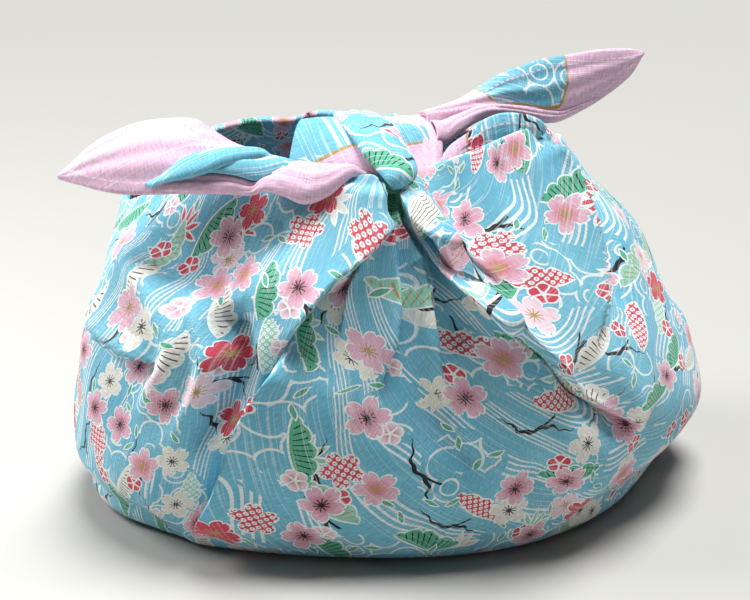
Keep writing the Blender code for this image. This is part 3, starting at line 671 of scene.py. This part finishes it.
def ply_cloth(piece, settings):
    """A ply of the knot or of a free end as a closed stretch with its own cloth coordinates."""
    seed = PLY_PIECES.index(piece)
    # A row that doesn't say where it swells most takes its middle
    table = sampled_path([(*row, PLY_MIDDLE)[:PLY_COLUMNS] for row in piece.rows], PLY_ALONG)
    tops, lows, swells, crests = table[:, :3] * MM, table[:, 3:6] * MM, table[:, 6] * MM, table[:, 7]
    runs = np.gradient((tops + lows) / 2, axis=0)
    count, length_steps = piece.across, len(table)
    share = np.linspace(0.0, 1.0, count)
    swing = math.radians(piece.arc) * (share - 0.5)
    front = np.zeros((length_steps, count, 3))
    for index, (top, low, swell, crest, run) in enumerate(zip(tops, lows, swells, crests, runs)):
        across = low - top
        forward = np.cross(run, across)
        forward /= max(np.linalg.norm(forward), TINY)
        forward *= 1.0 if forward @ TOWARDS_VIEWER > 0 else -1.0
        if piece.arc > FLAT_ARC:
            part, lift = (np.sin(swing) + 1) / 2, np.cos(swing)
        else:
            part, lift = share, np.sin(math.pi * share ** (math.log(0.5) / math.log(crest)))
        fade = math.sin(math.pi * min(max(index / (length_steps - 1), PLEAT_END), 1 - PLEAT_END))
        waver = WAVER * math.sin(index * WAVER_STEP + seed)
        pleat = np.sin(2 * math.pi * piece.pleats * part + waver) * np.sin(math.pi * np.clip(part, 0, 1))
        front[index] = (top + across * part[:, None]
                        + forward * (swell * lift + pleat * piece.pleat_rise * MM * fade)[:, None])
    outs = np.cross(np.gradient(front, axis=0), np.gradient(front, axis=1))
    outs /= np.maximum(np.linalg.norm(outs, axis=2, keepdims=True), TINY)
    if outs[length_steps // 2, count // 2] @ TOWARDS_VIEWER < 0:
        outs = -outs
    width = np.pad(np.cumsum(np.linalg.norm(np.diff(front, axis=1), axis=2), axis=1), ((0, 0), (1, 0)))
    length = np.pad(np.cumsum(np.linalg.norm(np.diff((tops + lows) / 2, axis=0), axis=1)), (1, 0))
    place = np.stack([np.broadcast_to(length[:, None], width.shape) + PRINT_APART[0] * (seed + 2),
                      width - width[:, -1:] / 2 + PRINT_APART[1] * (seed + 1)], axis=2)
    angle = math.radians(piece.thread)
    along_thread = np.array([math.cos(angle), math.sin(angle)])
    across_thread = np.array([-math.sin(angle), math.cos(angle)])
    grain = np.stack([place @ along_thread, place @ across_thread], axis=2)
    edge = np.minimum(width, width[:, -1:] - width)
    thick = settings.cloth_thickness / 2 + (HEM_STEP * piece.hemmed * (edge < HEM_WIDTH))[..., None]
    places, *reaches = np.array(piece.border).T
    at_top, at_low = (np.interp(length / length[-1], places, reach)[:, None] for reach in reaches)
    border = (at_top * (1 - share) + at_low * share) * MM

    def edge_tip(end, inside):
        tip = front[:, end] - front[:, inside]
        tip /= np.maximum(np.linalg.norm(tip, axis=1, keepdims=True), TINY)
        return (front[:, end] + tip * thick[:, end])[:, None]

    def both(run):
        return np.concatenate([run, run[:, -1:], run[:, ::-1], run[:, :1], run[:, :1]], axis=1)

    ring = np.concatenate([front + outs * thick, edge_tip(-1, -2), (front - outs * thick)[:, ::-1],
                           edge_tip(0, 1), (front + outs * thick)[:, :1]], axis=1)
    cloth = ClothMesh()
    hem = both(edge) if piece.hemmed else np.full(ring.shape[:2], FAR_FROM_EDGE)
    thread = np.broadcast_to(along_thread, (*ring.shape[:2], 2))
    cloth.grid(ring, both(place), both(grain), both(border), hem, thread, piece.strewn, False)
    close_ends(cloth, length_steps, count, both(place), both(grain))
    return cloth


def close_ends(cloth, length_steps, count, print_uv, grain_uv):
    """Closes the two ends of a ply between its front and its back."""
    around = 2 * count + 3
    for end in (0, length_steps - 1):
        for step in range(count + 1):
            corners = dict.fromkeys([(step - 1) % (2 * count + 2), step,
                                     2 * count - step, 2 * count + 1 - step])
            if len(corners) > 2:
                cloth.faces.append(tuple(end * around + corner for corner in corners))
                cloth.print_uv.extend(tuple(print_uv[end, corner]) for corner in corners)
                cloth.grain_uv.extend(tuple(grain_uv[end, corner]) for corner in corners)


def make_plies(part, settings):
    """Makes every ply of one part of the cloth."""
    for piece in PLY_PIECES:
        if piece.part == part:
            ply_cloth(piece, settings).finished(f"wrap_{piece.name}")


def cloth_coordinates(base, front):
    """Near true-length coordinates of the wall with the seam at its first column, the distance of
    every point from the foot's centre along the cloth, and how far its threads are turned."""
    belly_row = (ROWS_BASE + ROWS_BELLY) * ROW_STEPS
    around = np.roll(base, -1, axis=0) - np.roll(base, 1, axis=0)
    around[:, :, 2] = 0.0
    around /= np.maximum(np.linalg.norm(around, axis=2, keepdims=True), TINY)
    step_round = np.linalg.norm(np.roll(base[:, belly_row], -1, axis=0) - base[:, belly_row], axis=1)
    ring = np.concatenate([[0.0], np.cumsum(step_round)])
    moves = np.diff(base, axis=1)
    middles = (around[:, 1:] + around[:, :-1]) / 2
    sideways = (moves * middles).sum(axis=2)
    upward = np.linalg.norm(moves - middles * sideways[..., None], axis=2)
    drift, climb = (np.pad(np.cumsum(steps, axis=1), ((0, 0), (1, 0))) for steps in (sideways, upward))
    sheet = np.concatenate([climb, climb[:1]], axis=0)
    drift -= drift[:, belly_row:belly_row + 1]
    climb -= climb[:, belly_row:belly_row + 1]
    u = ring[:-1, None] + drift
    u = np.concatenate([u, u[:1] + ring[-1]], axis=0)
    turn = 2 * math.pi * (ring - ring[front]) / ring[-1] + GRAIN_TURN
    return u, np.concatenate([climb, climb[:1]], axis=0), sheet, turn


# ---- Cloth finish ---------------------------------------------------------------------------

# Steps of a recipe that aren't arithmetic: the node, its settings, the sockets that take the
# step's values in turn, and the output that goes by the step's name.
STEP_NODES = {
    "MIX": ("ShaderNodeMix", {"data_type": "RGBA"}, (0, 6, 7), 2),
    "NOISE": ("ShaderNodeTexNoise", {"noise_dimensions": "2D"}, ("Vector", "Scale", "Detail"), 0),
    "CELLS": ("ShaderNodeTexVoronoi", {"voronoi_dimensions": "2D"}, ("Vector", "Scale", "Randomness"), 0),
    "PLACE": ("ShaderNodeCombineXYZ", {}, (0, 1), 0),
    "APART": ("ShaderNodeSeparateXYZ", {}, (0,), 0),
    "SHIFTED": ("ShaderNodeVectorMath", {"operation": "ADD"}, (0, 1), 0),
    "FROM": ("ShaderNodeVectorMath", {"operation": "SUBTRACT"}, (0, 1), 0),
    "STRETCHED": ("ShaderNodeVectorMath", {"operation": "MULTIPLY"}, (0, 1), 0),
    "SCALED": ("ShaderNodeVectorMath", {"operation": "SCALE"}, (0, 3), 0),
}
SOCKET_KINDS = {"cloth": "NodeSocketVector", "grain": "NodeSocketVector", "thread": "NodeSocketVector",
                "colour": "NodeSocketColor"}

# Recipes. A motif is drawn from its place x, y in units of its own half width, and is there where
# inside is above 0.
FLOWER = """
xx MULTIPLY x x
rr MULTIPLY_ADD y y xx
r SQRT rr
a ARCTAN2 y x
h MULTIPLY a 2.5
c COSINE h
c1 ABSOLUTE c
"""
CHERRY = FLOWER + """
s SINE h
s1 ABSOLUTE s
c2 POWER c1 0.6
n MULTIPLY_ADD s1 -4.5 1
n1 MAXIMUM n 0
e MULTIPLY_ADD c2 0.52 0.48
e1 MULTIPLY_ADD n1 -0.15 e
inside SUBTRACT e1 r
f MULTIPLY a 5
f1 SINE f
f2 ABSOLUTE f1
f3 MULTIPLY f2 r
k LESS_THAN f3 0.11
k1 LESS_THAN r 0.34
marks MULTIPLY k k1
t MULTIPLY_ADD r -1.5 1
t1 MAXIMUM t 0
throat MINIMUM t1 1
"""
PLUM = FLOWER + """
c2 POWER c1 0.5
e MULTIPLY_ADD c2 0.26 0.74
inside SUBTRACT e r
g MULTIPLY c1 r
g1 MULTIPLY_ADD g 0.4 -0.07
marks LESS_THAN g1 0
t MULTIPLY_ADD r -1.3 1
t1 MAXIMUM t 0
throat MINIMUM t1 1
"""
BOUGH = """
xx MULTIPLY x x
u MULTIPLY_ADD xx -1 1
u1 MAXIMUM u 0
q SQRT u1
w MULTIPLY x 6.3
w1 COSINE w
w2 ABSOLUTE w1
w3 POWER w2 0.5
w4 MULTIPLY_ADD w3 0.17 0.36
top MULTIPLY w4 q
up SUBTRACT top y
low MULTIPLY_ADD u1 0.20 y
inside MINIMUM up low
y1 ADD y 0.9
b ARCTAN2 x y1
b1 MULTIPLY b 22
b2 SINE b1
b3 ABSOLUTE b2
m MULTIPLY_ADD inside -1 0.13
m1 LESS_THAN m 0
m2 LESS_THAN b3 0.33
marks MULTIPLY m1 m2
"""
LEAVES = """
x1 ABSOLUTE x
x2 SUBTRACT x1 0.55
x3 DIVIDE x2 0.45
x4 MULTIPLY x3 x3
x5 MULTIPLY_ADD x4 -0.2 0.2
y1 MULTIPLY_ADD x1 -0.45 y
y2 ADD y1 0.12
y3 ABSOLUTE y2
inside SUBTRACT x5 y3
"""
FAN = """
xx MULTIPLY x x
rr MULTIPLY_ADD y y xx
r SQRT rr
a ARCTAN2 x y
a1 DIVIDE a 0.62
a2 ADD a1 0.5
a3 FRACT a2
a4 SUBTRACT a3 0.5
a5 MULTIPLY a4 0.62
a6 SINE a5
a7 ABSOLUTE a6
d MULTIPLY a7 r
r1 SUBTRACT 1 r
r2 MULTIPLY r1 r
r3 MAXIMUM r2 0
r4 MULTIPLY r3 0.62
l SUBTRACT r4 d
o ABSOLUTE a
o1 LESS_THAN o 1.5
o2 SUBTRACT o1 1
inside ADD l o2
"""
TWIG = """
x1 ABSOLUTE x
w MULTIPLY x 5
w1 SINE w
w2 MULTIPLY x 17
w3 SINE w2
c MULTIPLY w1 0.10
c1 MULTIPLY_ADD w3 0.03 c
d SUBTRACT y c1
d1 ABSOLUTE d
t MULTIPLY_ADD x1 -0.06 0.072
i SUBTRACT t d1
v MULTIPLY_ADD x -0.75 y
v1 ABSOLUTE v
v2 SUBTRACT 0.040 v1
v3 SUBTRACT x 0.25
v4 ABSOLUTE v3
v5 SUBTRACT 0.27 v4
v6 MINIMUM v2 v5
inside MAXIMUM i v6
"""
# Rings in rows on the slant, 3.1 mm apart, from x, y in metres
KANOKO = """
p DIVIDE x 0.0031
q DIVIDE y 0.0031
s ADD p q
d SUBTRACT p q
s1 MULTIPLY s 0.7071
d1 MULTIPLY d 0.7071
s2 FRACT s1
d2 FRACT d1
s3 SUBTRACT s2 0.5
d3 SUBTRACT d2 0.5
s4 MULTIPLY s3 s3
r MULTIPLY_ADD d3 d3 s4
r1 SQRT r
r2 SUBTRACT r1 0.25
r3 ABSOLUTE r2
rings LESS_THAN r3 0.13
"""
# The place seen from the nearest motif's middle, turned with the threads and by a random spin,
# and two random numbers for that motif, of which pick is lower where motifs crowd.
STREWN = """
scale DIVIDE 1 spacing
shift2 MULTIPLY shift 1.7
moved PLACE shift shift2
place SHIFTED cloth moved
cells CELLS place scale 0.72
local FROM place cells.Position
middle FROM cells.Position moved
gathered NOISE middle 11 0
chance APART cells.Color
d APART local
t APART thread
ax MULTIPLY d.X t.X
along MULTIPLY_ADD d.Y t.Y ax
ay MULTIPLY d.X t.Y
ay2 MULTIPLY ay -1
across MULTIPLY_ADD d.Y t.X ay2
g SUBTRACT chance.X 0.5
angle MULTIPLY g spin
ca COSINE angle
sa SINE angle
x1 MULTIPLY along ca
x MULTIPLY_ADD across sa x1
y1 MULTIPLY along sa
y2 MULTIPLY y1 -1
y MULTIPLY_ADD across ca y2
c1 SUBTRACT gathered 0.5
pick MULTIPLY_ADD c1 crowd chance.Y
tint IS chance.Z
"""
GROUND = """
drift NOISE cloth ground_cells 1
ground MIX drift light deep
g APART grain
bend NOISE grain bend_cells 0
patch NOISE cloth patch_cells 0
discs CELLS cloth cloud_cells 1
cell APART discs.Color
w MULTIPLY_ADD bend water_sway g.Y
w1 DIVIDE w water_apart
w2 FRACT w1
w3 SUBTRACT w2 0.5
w4 ABSOLUTE w3
w5 LESS_THAN w4 water_half
b DIVIDE w water_band
b1 FRACT b
b2 LESS_THAN b1 0.5
wp GREATER_THAN patch water_from
w6 MULTIPLY w5 b2
water MULTIPLY w6 wp
c SUBTRACT discs outer_ring
c1 ABSOLUTE c
c2 LESS_THAN c1 outer_line
e SUBTRACT discs inner_ring
e1 ABSOLUTE e
e2 LESS_THAN e1 inner_line
e3 GREATER_THAN cell.X inner_from
e4 MULTIPLY e2 e3
c3 MAXIMUM c2 e4
cp LESS_THAN patch cloud_below
clouds MULTIPLY c3 cp
lines MAXIMUM water clouds
lines2 MULTIPLY lines line_cover
colour MIX lines2 ground outline
"""
# Noise and cells in each metre of cloth; lengths in metres; widths and rings as shares of a cell
GROUND_SIZES = {
    "ground_cells": 14.0, "bend_cells": 15.0, "patch_cells": 24.0, "cloud_cells": 66.0,
    "water_sway": 0.024, "water_apart": 0.0034, "water_half": 0.19, "water_band": 0.0272,
    "water_from": 0.51, "cloud_below": 0.46, "outer_ring": 0.56, "outer_line": 0.042,
    "inner_ring": 0.30, "inner_line": 0.036, "inner_from": 0.75, "line_cover": 0.88,
}
COTTON = """
slub_place STRETCHED grain slub_cells
slub NOISE slub_place 1 1
rib_place STRETCHED grain rib_cells
rib NOISE rib_place 1 0
x APART cloth
s MULTIPLY_ADD slub slub_gain slub_cut
s1 MAXIMUM s 0
s2 MINIMUM s1 1
pale MULTIPLY s2 slub_cover
r SUBTRACT rib 0.5
shade MULTIPLY_ADD r rib_shade 1
pink GREATER_THAN border 0
b ABSOLUTE border
gold LESS_THAN b piping_half
h SUBTRACT hem stitch_line
h1 ABSOLUTE h
h2 LESS_THAN h1 stitch_half
d DIVIDE x.X stitch_pitch
d1 FRACT d
d2 LESS_THAN d1 stitch_share
stitch MULTIPLY h2 d2
raised MULTIPLY_ADD s2 slub_height rib
height MULTIPLY_ADD stitch stitch_height raised
bordered MIX pink printed border_dye
piped MIX gold bordered gold_dye
slubbed MIX pale piped slub_dye
woven SCALED slubbed shade
colour MIX stitch woven stitch_dye
"""
# Slubs and ribs in each metre, along and across the threads: real threads lie 0.3 mm apart and
# are drawn about three times coarser, so that they show. Lengths are in metres.
COTTON_SIZES = {
    "slub_cells": (14.0, 1200.0, 1.0), "rib_cells": (1150.0, 240.0, 1.0), "slub_gain": 7.0,
    "slub_cut": -3.95, "slub_cover": 0.34, "rib_shade": 0.40, "slub_height": 0.6,
    "piping_half": 0.0006, "stitch_line": 0.0052, "stitch_half": 0.0004, "stitch_pitch": 0.0036,
    "stitch_share": 0.62, "stitch_height": 1.2,
}
# Each group's inputs, outputs and recipe
RECIPES = {
    "strewn": ("cloth thread spacing shift spin crowd", "x y pick tint", STREWN),
    "cherry": ("x y", "inside marks throat", CHERRY),
    "plum": ("x y", "inside marks throat", PLUM),
    "bough": ("x y", "inside marks", BOUGH),
    "leaves": ("x y", "inside", LEAVES),
    "fan": ("x y", "inside", FAN),
    "twig": ("x y", "inside", TWIG),
    "kanoko": ("x y", "rings", KANOKO),
}

Variant = namedtuple("Variant", "from_tint dye throat marks kanoko", defaults=(None, None, False))
Layer = namedtuple("Layer", "name motif spacing shift half spin share crowd outline variants")

OUTLINE = "#E8EDEC"
PINK = "#DCB0C3"
PALE_PINK = "#E6CDD8"
RED = "#CC465B"
CRIMSON = "#A62C4C"
GOLD = "#B2945A"
BLACK = "#242128"
GREEN = "#56AE8F"
MINT = "#92CDB9"
OFF_WHITE = "#E0DED5"
SLUB = "#F2F4F3"
STITCH = "#EFD3E2"
THROAT_COVER = 0.85

# What is printed, from the bottom up. Spacing, shift and half width in metres, spin in radians;
# share is how many of the places are filled and crowd how far that changes over the cloth; a
# variant holds from its tint value upwards.
LAYERS = [
    Layer("bamboo_leaves", "fan", 0.062, 0.213, 0.0150, 2.0, 0.55, -1.2, 0.075,
          [Variant(0.0, MINT), Variant(0.55, OFF_WHITE), Variant(0.8, RED)]),
    Layer("twigs", "twig", 0.044, 0.077, 0.0190, 1.6, 0.62, -1.5, 0.0, [Variant(0.0, BLACK)]),
    Layer("pine_boughs", "bough", 0.039, 0.061, 0.0182, 1.1, 0.66, -2.2, 0.052,
          [Variant(0.0, GREEN, None, BLACK), Variant(0.36, MINT, None, GOLD),
           Variant(0.56, RED, kanoko=True), Variant(0.70, OFF_WHITE, None, BLACK),
           Variant(0.88, MINT, kanoko=True)]),
    Layer("leaves", "leaves", 0.030, 0.119, 0.0098, 6.2, 0.50, 1.0, 0.07, [Variant(0.0, GREEN)]),
    Layer("plum_blossoms", "plum", 0.033, 0.163, 0.0064, 6.2, 0.52, -0.5, 0.13,
          [Variant(0.0, RED, None, OUTLINE), Variant(0.5, PALE_PINK, CRIMSON, OUTLINE)]),
    Layer("pale_blossoms", "cherry", 0.040, 0.257, 0.0112, 6.2, 0.48, 2.2, 0.085,
          [Variant(0.0, PALE_PINK, None, GOLD), Variant(0.4, OFF_WHITE, None, BLACK),
           Variant(0.82, RED, kanoko=True)]),
    Layer("cherry_blossoms", "cherry", 0.037, 0.009, 0.0118, 6.2, 0.62, 1.8, 0.085,
          [Variant(0.0, PINK, CRIMSON, BLACK), Variant(0.38, PINK, None, GOLD),
           Variant(0.58, PINK, RED, GOLD), Variant(0.82, RED, None, GOLD)]),
]


def add(tree, kind, inputs=None, **settings):
    """Adds one node with its settings; inputs gives a value or a socket for each of its sockets."""
    item = tree.nodes.new(kind)
    for name, value in settings.items():
        setattr(item, name, value)
    for key, value in (inputs or {}).items():
        if isinstance(value, bpy.types.NodeSocket):
            tree.links.new(value, item.inputs[key])
        else:
            item.inputs[key].default_value = value
    return item


def work_out(tree, known, recipe):
    """Adds a node for each step 'name WORK value ...' of a recipe. Later steps know its result by
    that name and every output as name.output."""
    for step in filter(str.strip, recipe.splitlines()):
        name, work, *words = step.split()
        if work == "IS":
            known[name] = known[words[0]]
            continue
        plain = ("ShaderNodeMath", {"operation": work}, (0, 1, 2), 0)
        kind, settings, sockets, main = STEP_NODES.get(work, plain)
        values = {socket: known[word] if word in known else float(word)
                  for socket, word in zip(sockets, words)}
        item = add(tree, kind, values, **settings)
        known.update({f"{name}.{socket.name}": socket for socket in item.outputs})
        known[name] = item.outputs[main]
    return known


def open_group(name, inputs, outputs):
    """A node group with the named sockets, and what it is given, by name."""
    tree = bpy.data.node_groups.new(name, "ShaderNodeTree")
    for labels, way in ((inputs, "INPUT"), (outputs, "OUTPUT")):
        for label in labels.split():
            tree.interface.new_socket(name=label, in_out=way,
                                      socket_type=SOCKET_KINDS.get(label, "NodeSocketFloat"))
    given = add(tree, "NodeGroupInput")
    return tree, {label: given.outputs[label] for label in inputs.split()}


def recipe_group(name, inputs, outputs, recipe):
    """A node group that works out its outputs by a recipe."""
    tree, known = open_group(name, inputs, outputs)
    work_out(tree, known, recipe)
    add(tree, "NodeGroupOutput", {label: known[label] for label in outputs.split()})
    return tree


def lay_motif(tree, known, layer, groups):
    """Prints one layer of motifs over the colour that is known."""
    placed = {label: getattr(layer, label) for label in ("spacing", "shift", "spin", "crowd")}
    strewn = add(tree, "ShaderNodeGroup", {"cloth": known["cloth"], "thread": known["thread"], **placed},
                 node_tree=groups["strewn"])
    known.update({socket.name: socket for socket in strewn.outputs}, half=layer.half, share=layer.share)
    work_out(tree, known, "u DIVIDE x half\nv DIVIDE y half\nthere LESS_THAN pick share")
    drawn = add(tree, "ShaderNodeGroup", {"x": known["u"], "y": known["v"]},
                node_tree=groups[layer.motif])
    known.update({socket.name: socket for socket in drawn.outputs}, edge=layer.outline)
    if any(variant.kanoko for variant in layer.variants):
        known["rings"] = add(tree, "ShaderNodeGroup", {"x": known["x"], "y": known["y"]},
                             node_tree=groups["kanoko"]).outputs[0]
    for index, variant in enumerate(layer.variants):
        known.update(dye=hex_to_linear(variant.dye), from_tint=variant.from_tint)
        if variant.throat:
            known.update(throat_dye=hex_to_linear(variant.throat), cover=THROAT_COVER)
            work_out(tree, known, "strength MULTIPLY throat cover\ndye MIX strength dye throat_dye")
        if variant.kanoko:
            work_out(tree, known, "dye MIX rings dye outline")
        if variant.marks:
            known["marks_dye"] = hex_to_linear(variant.marks)
            work_out(tree, known, "dye MIX marks dye marks_dye")
        choice = "chosen GREATER_THAN tint from_tint\nfill MIX chosen fill dye"
        work_out(tree, known, choice if index else "fill IS dye")
    if layer.outline:
        work_out(tree, known, "within GREATER_THAN inside edge\nfill MIX within outline fill")
    work_out(tree, known, "shown GREATER_THAN inside 0\nlaid MULTIPLY shown there\n"
                          "printed MULTIPLY laid strewn\ncolour MIX printed colour fill")


def print_group(settings):
    """The whole print: sky blue ground, white water and cloud lines and the strewn motifs."""
    tree, known = open_group("cloth_print", "cloth grain thread strewn", "colour")
    groups = {name: recipe_group(name, *parts) for name, parts in RECIPES.items()}
    known.update(GROUND_SIZES, light=tuple(settings.ground), deep=tuple(settings.ground_deep),
                 outline=hex_to_linear(OUTLINE))
    work_out(tree, known, GROUND)
    for layer in LAYERS:
        lay_motif(tree, known, layer, groups)
    add(tree, "NodeGroupOutput", {"colour": known["colour"]})
    return tree


def printed_cotton(settings):
    """Slub-woven cotton, screen printed: matt, with thick threads that take less dye and stand out
    as pale lines, and plain pink borders with a gold line and a stitched hem."""
    material = bpy.data.materials.new("screen_printed_slub_cotton")
    material.use_nodes = True
    tree = material.node_tree
    shader = tree.nodes["Principled BSDF"]
    for name, value in COTTON_SURFACE.items():
        shader.inputs[name].default_value = value
    known = {name: add(tree, "ShaderNodeAttribute", attribute_name=name).outputs["Fac"]
             for name in ("border", "hem", "strewn")}
    known["thread"] = add(tree, "ShaderNodeAttribute", attribute_name="thread").outputs["Vector"]
    known["cloth"] = add(tree, "ShaderNodeUVMap", uv_map="print").outputs[0]
    known["grain"] = add(tree, "ShaderNodeUVMap", uv_map="grain").outputs[0]
    places = {label: known[label] for label in ("cloth", "grain", "thread", "strewn")}
    known["printed"] = add(tree, "ShaderNodeGroup", places, node_tree=print_group(settings)).outputs[0]
    known.update(COTTON_SIZES, border_dye=tuple(settings.border), gold_dye=hex_to_linear(GOLD),
                 slub_dye=hex_to_linear(SLUB), stitch_dye=hex_to_linear(STITCH))
    work_out(tree, known, COTTON)
    tree.links.new(known["colour"], shader.inputs["Base Color"])
    bump = add(tree, "ShaderNodeBump", {"Height": known["height"], **WEAVE_BUMP})
    tree.links.new(bump.outputs[0], shader.inputs["Normal"])
    return material


# ---- Add-on ---------------------------------------------------------------------------------

class WrapSettings(bpy.types.PropertyGroup):
    """Sizes and colours of the wrapping cloth."""
    cloth_thickness: FloatProperty(
        name="Cloth thickness", description="Thickness of one ply of the cotton",
        default=1.2 * MM, min=0.3 * MM, max=3 * MM, unit="LENGTH", precision=4)
    flat_side: FloatProperty(
        name="Flat side", description="Side of the square cloth laid flat",
        default=0.68, min=0.4, max=1.2, unit="LENGTH")
    ground: FloatVectorProperty(
        name="Ground", description="Dye of the ground", subtype="COLOR", size=4,
        default=hex_to_linear("#7BC0D3"), min=0, max=1)
    ground_deep: FloatVectorProperty(
        name="Deep ground", description="Dye of the ground where it took more colour",
        subtype="COLOR", size=4, default=hex_to_linear("#60ADCB"), min=0, max=1)
    border: FloatVectorProperty(
        name="Border", description="Dye of the plain borders", subtype="COLOR", size=4,
        default=hex_to_linear("#DDB7CF"), min=0, max=1)
    floor: FloatVectorProperty(
        name="Floor", description="Colour of the floor", subtype="COLOR", size=4,
        default=hex_to_linear("#ADACA8"), min=0, max=1)


class WRAP_OT_body(bpy.types.Operator):
    """Makes the standing body of the wrap with its folds and turned-in edge"""
    bl_idname = "wrap.body"
    bl_label = "Body"

    def execute(self, context):
        body_cloth(context.scene.wrap_settings).finished("wrap_body")
        return {"FINISHED"}


class WRAP_OT_knot(bpy.types.Operator):
    """Makes the knot and the gathered neck of cloth behind it"""
    bl_idname = "wrap.knot"
    bl_label = "Knot"

    def execute(self, context):
        make_plies("knot", context.scene.wrap_settings)
        return {"FINISHED"}


class WRAP_OT_free_ends(bpy.types.Operator):
    """Makes the two free ends and the inner ply of the right panel"""
    bl_idname = "wrap.free_ends"
    bl_label = "Free ends"

    def execute(self, context):
        make_plies("ends", context.scene.wrap_settings)
        return {"FINISHED"}


class WRAP_OT_one_cloth(bpy.types.Operator):
    """Joins every stretch into the one cloth that it is, and dyes it"""
    bl_idname = "wrap.one_cloth"
    bl_label = "One cloth"

    def execute(self, context):
        settings = context.scene.wrap_settings
        bpy.ops.object.select_all(action="DESELECT")
        for name in ["wrap_body"] + [f"wrap_{piece.name}" for piece in PLY_PIECES]:
            bpy.data.objects[name].select_set(True)
        cloth = bpy.data.objects["wrap_body"]
        context.view_layer.objects.active = cloth
        bpy.ops.object.join()
        cloth.name = "furoshiki_cloth"
        cloth.data.materials.append(printed_cotton(settings))
        cloth.data.uv_layers["print"].active = True
        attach(cloth, "root")
        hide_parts(NODE)
        return {"FINISHED"}


class WRAP_OT_stage(bpy.types.Operator):
    """Makes the floor, the soft studio light and the camera"""
    bl_idname = "wrap.stage"
    bl_label = "Stage"

    def execute(self, context):
        make_stage(context, context.scene.wrap_settings)
        return {"FINISHED"}


def make_stage(context, settings):
    """Pale seamless floor, soft light from above and behind, a faint grey sky and the camera."""
    bpy.ops.mesh.primitive_plane_add(size=FLOOR_SIZE, location=(0.0, 0.0, 0.0))
    floor = context.active_object
    floor.name = "floor"
    material = bpy.data.materials.new("matt_paper_floor")
    material.use_nodes = True
    shader = material.node_tree.nodes["Principled BSDF"]
    shader.inputs["Base Color"].default_value = tuple(settings.floor)
    shader.inputs["Roughness"].default_value = FLOOR_ROUGHNESS
    floor.data.materials.append(material)
    world = bpy.data.worlds.new("studio")
    context.scene.world = world
    world.use_nodes = True
    background = world.node_tree.nodes["Background"]
    background.inputs[0].default_value = hex_to_linear(SKY)
    background.inputs[1].default_value = SKY_STRENGTH
    for lamp in LIGHTS:
        bpy.ops.object.light_add(type=lamp.kind, location=lamp.place)
        light = context.active_object
        light.name = lamp.name
        light.data.energy = lamp.power
        if lamp.kind == "SUN":
            light.data.angle = math.radians(lamp.size)
        else:
            light.data.shape = "DISK"
            light.data.size = lamp.size
        aim = Vector(lamp.aim) - Vector(lamp.place)
        light.rotation_euler = aim.to_track_quat("-Z", "Y").to_euler()
    bpy.ops.object.camera_add(location=CAMERA_PLACE, rotation=(math.radians(CAMERA_TILT), 0.0, 0.0))
    camera = context.active_object
    camera.name = "camera"
    camera.data.lens = CAMERA_LENS
    camera.data.sensor_width = CAMERA_SENSOR
    camera.data.clip_start = CAMERA_NEAR
    context.scene.camera = camera
    context.scene.view_settings.view_transform = "Standard"


class WRAP_PT_panel(bpy.types.Panel):
    """Lists the sizes, colours and pieces of the wrap"""
    bl_label = "Furoshiki wrap"
    bl_idname = "WRAP_PT_panel"
    bl_space_type = "VIEW_3D"
    bl_region_type = "UI"
    bl_category = "Wrap"

    def draw(self, context):
        settings = context.scene.wrap_settings
        for name in ("cloth_thickness", "flat_side", "ground", "ground_deep", "border", "floor"):
            self.layout.prop(settings, name)
        for operator in PIECE_OPERATORS:
            self.layout.operator(operator.bl_idname)


PIECE_OPERATORS = (WRAP_OT_body, WRAP_OT_knot, WRAP_OT_free_ends, WRAP_OT_one_cloth, WRAP_OT_stage)
CLASSES = (WrapSettings, *PIECE_OPERATORS, WRAP_PT_panel)


def register():
    for item in CLASSES:
        bpy.utils.register_class(item)
    bpy.types.Scene.wrap_settings = PointerProperty(type=WrapSettings)


def unregister():
    del bpy.types.Scene.wrap_settings
    for item in reversed(CLASSES):
        bpy.utils.unregister_class(item)


def main():
    register()
    bpy.ops.wrap.body()
    bpy.ops.wrap.knot()
    bpy.ops.wrap.free_ends()
    bpy.ops.wrap.one_cloth()
    bpy.ops.wrap.stage()
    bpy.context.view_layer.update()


if __name__ == "__main__":
    main()
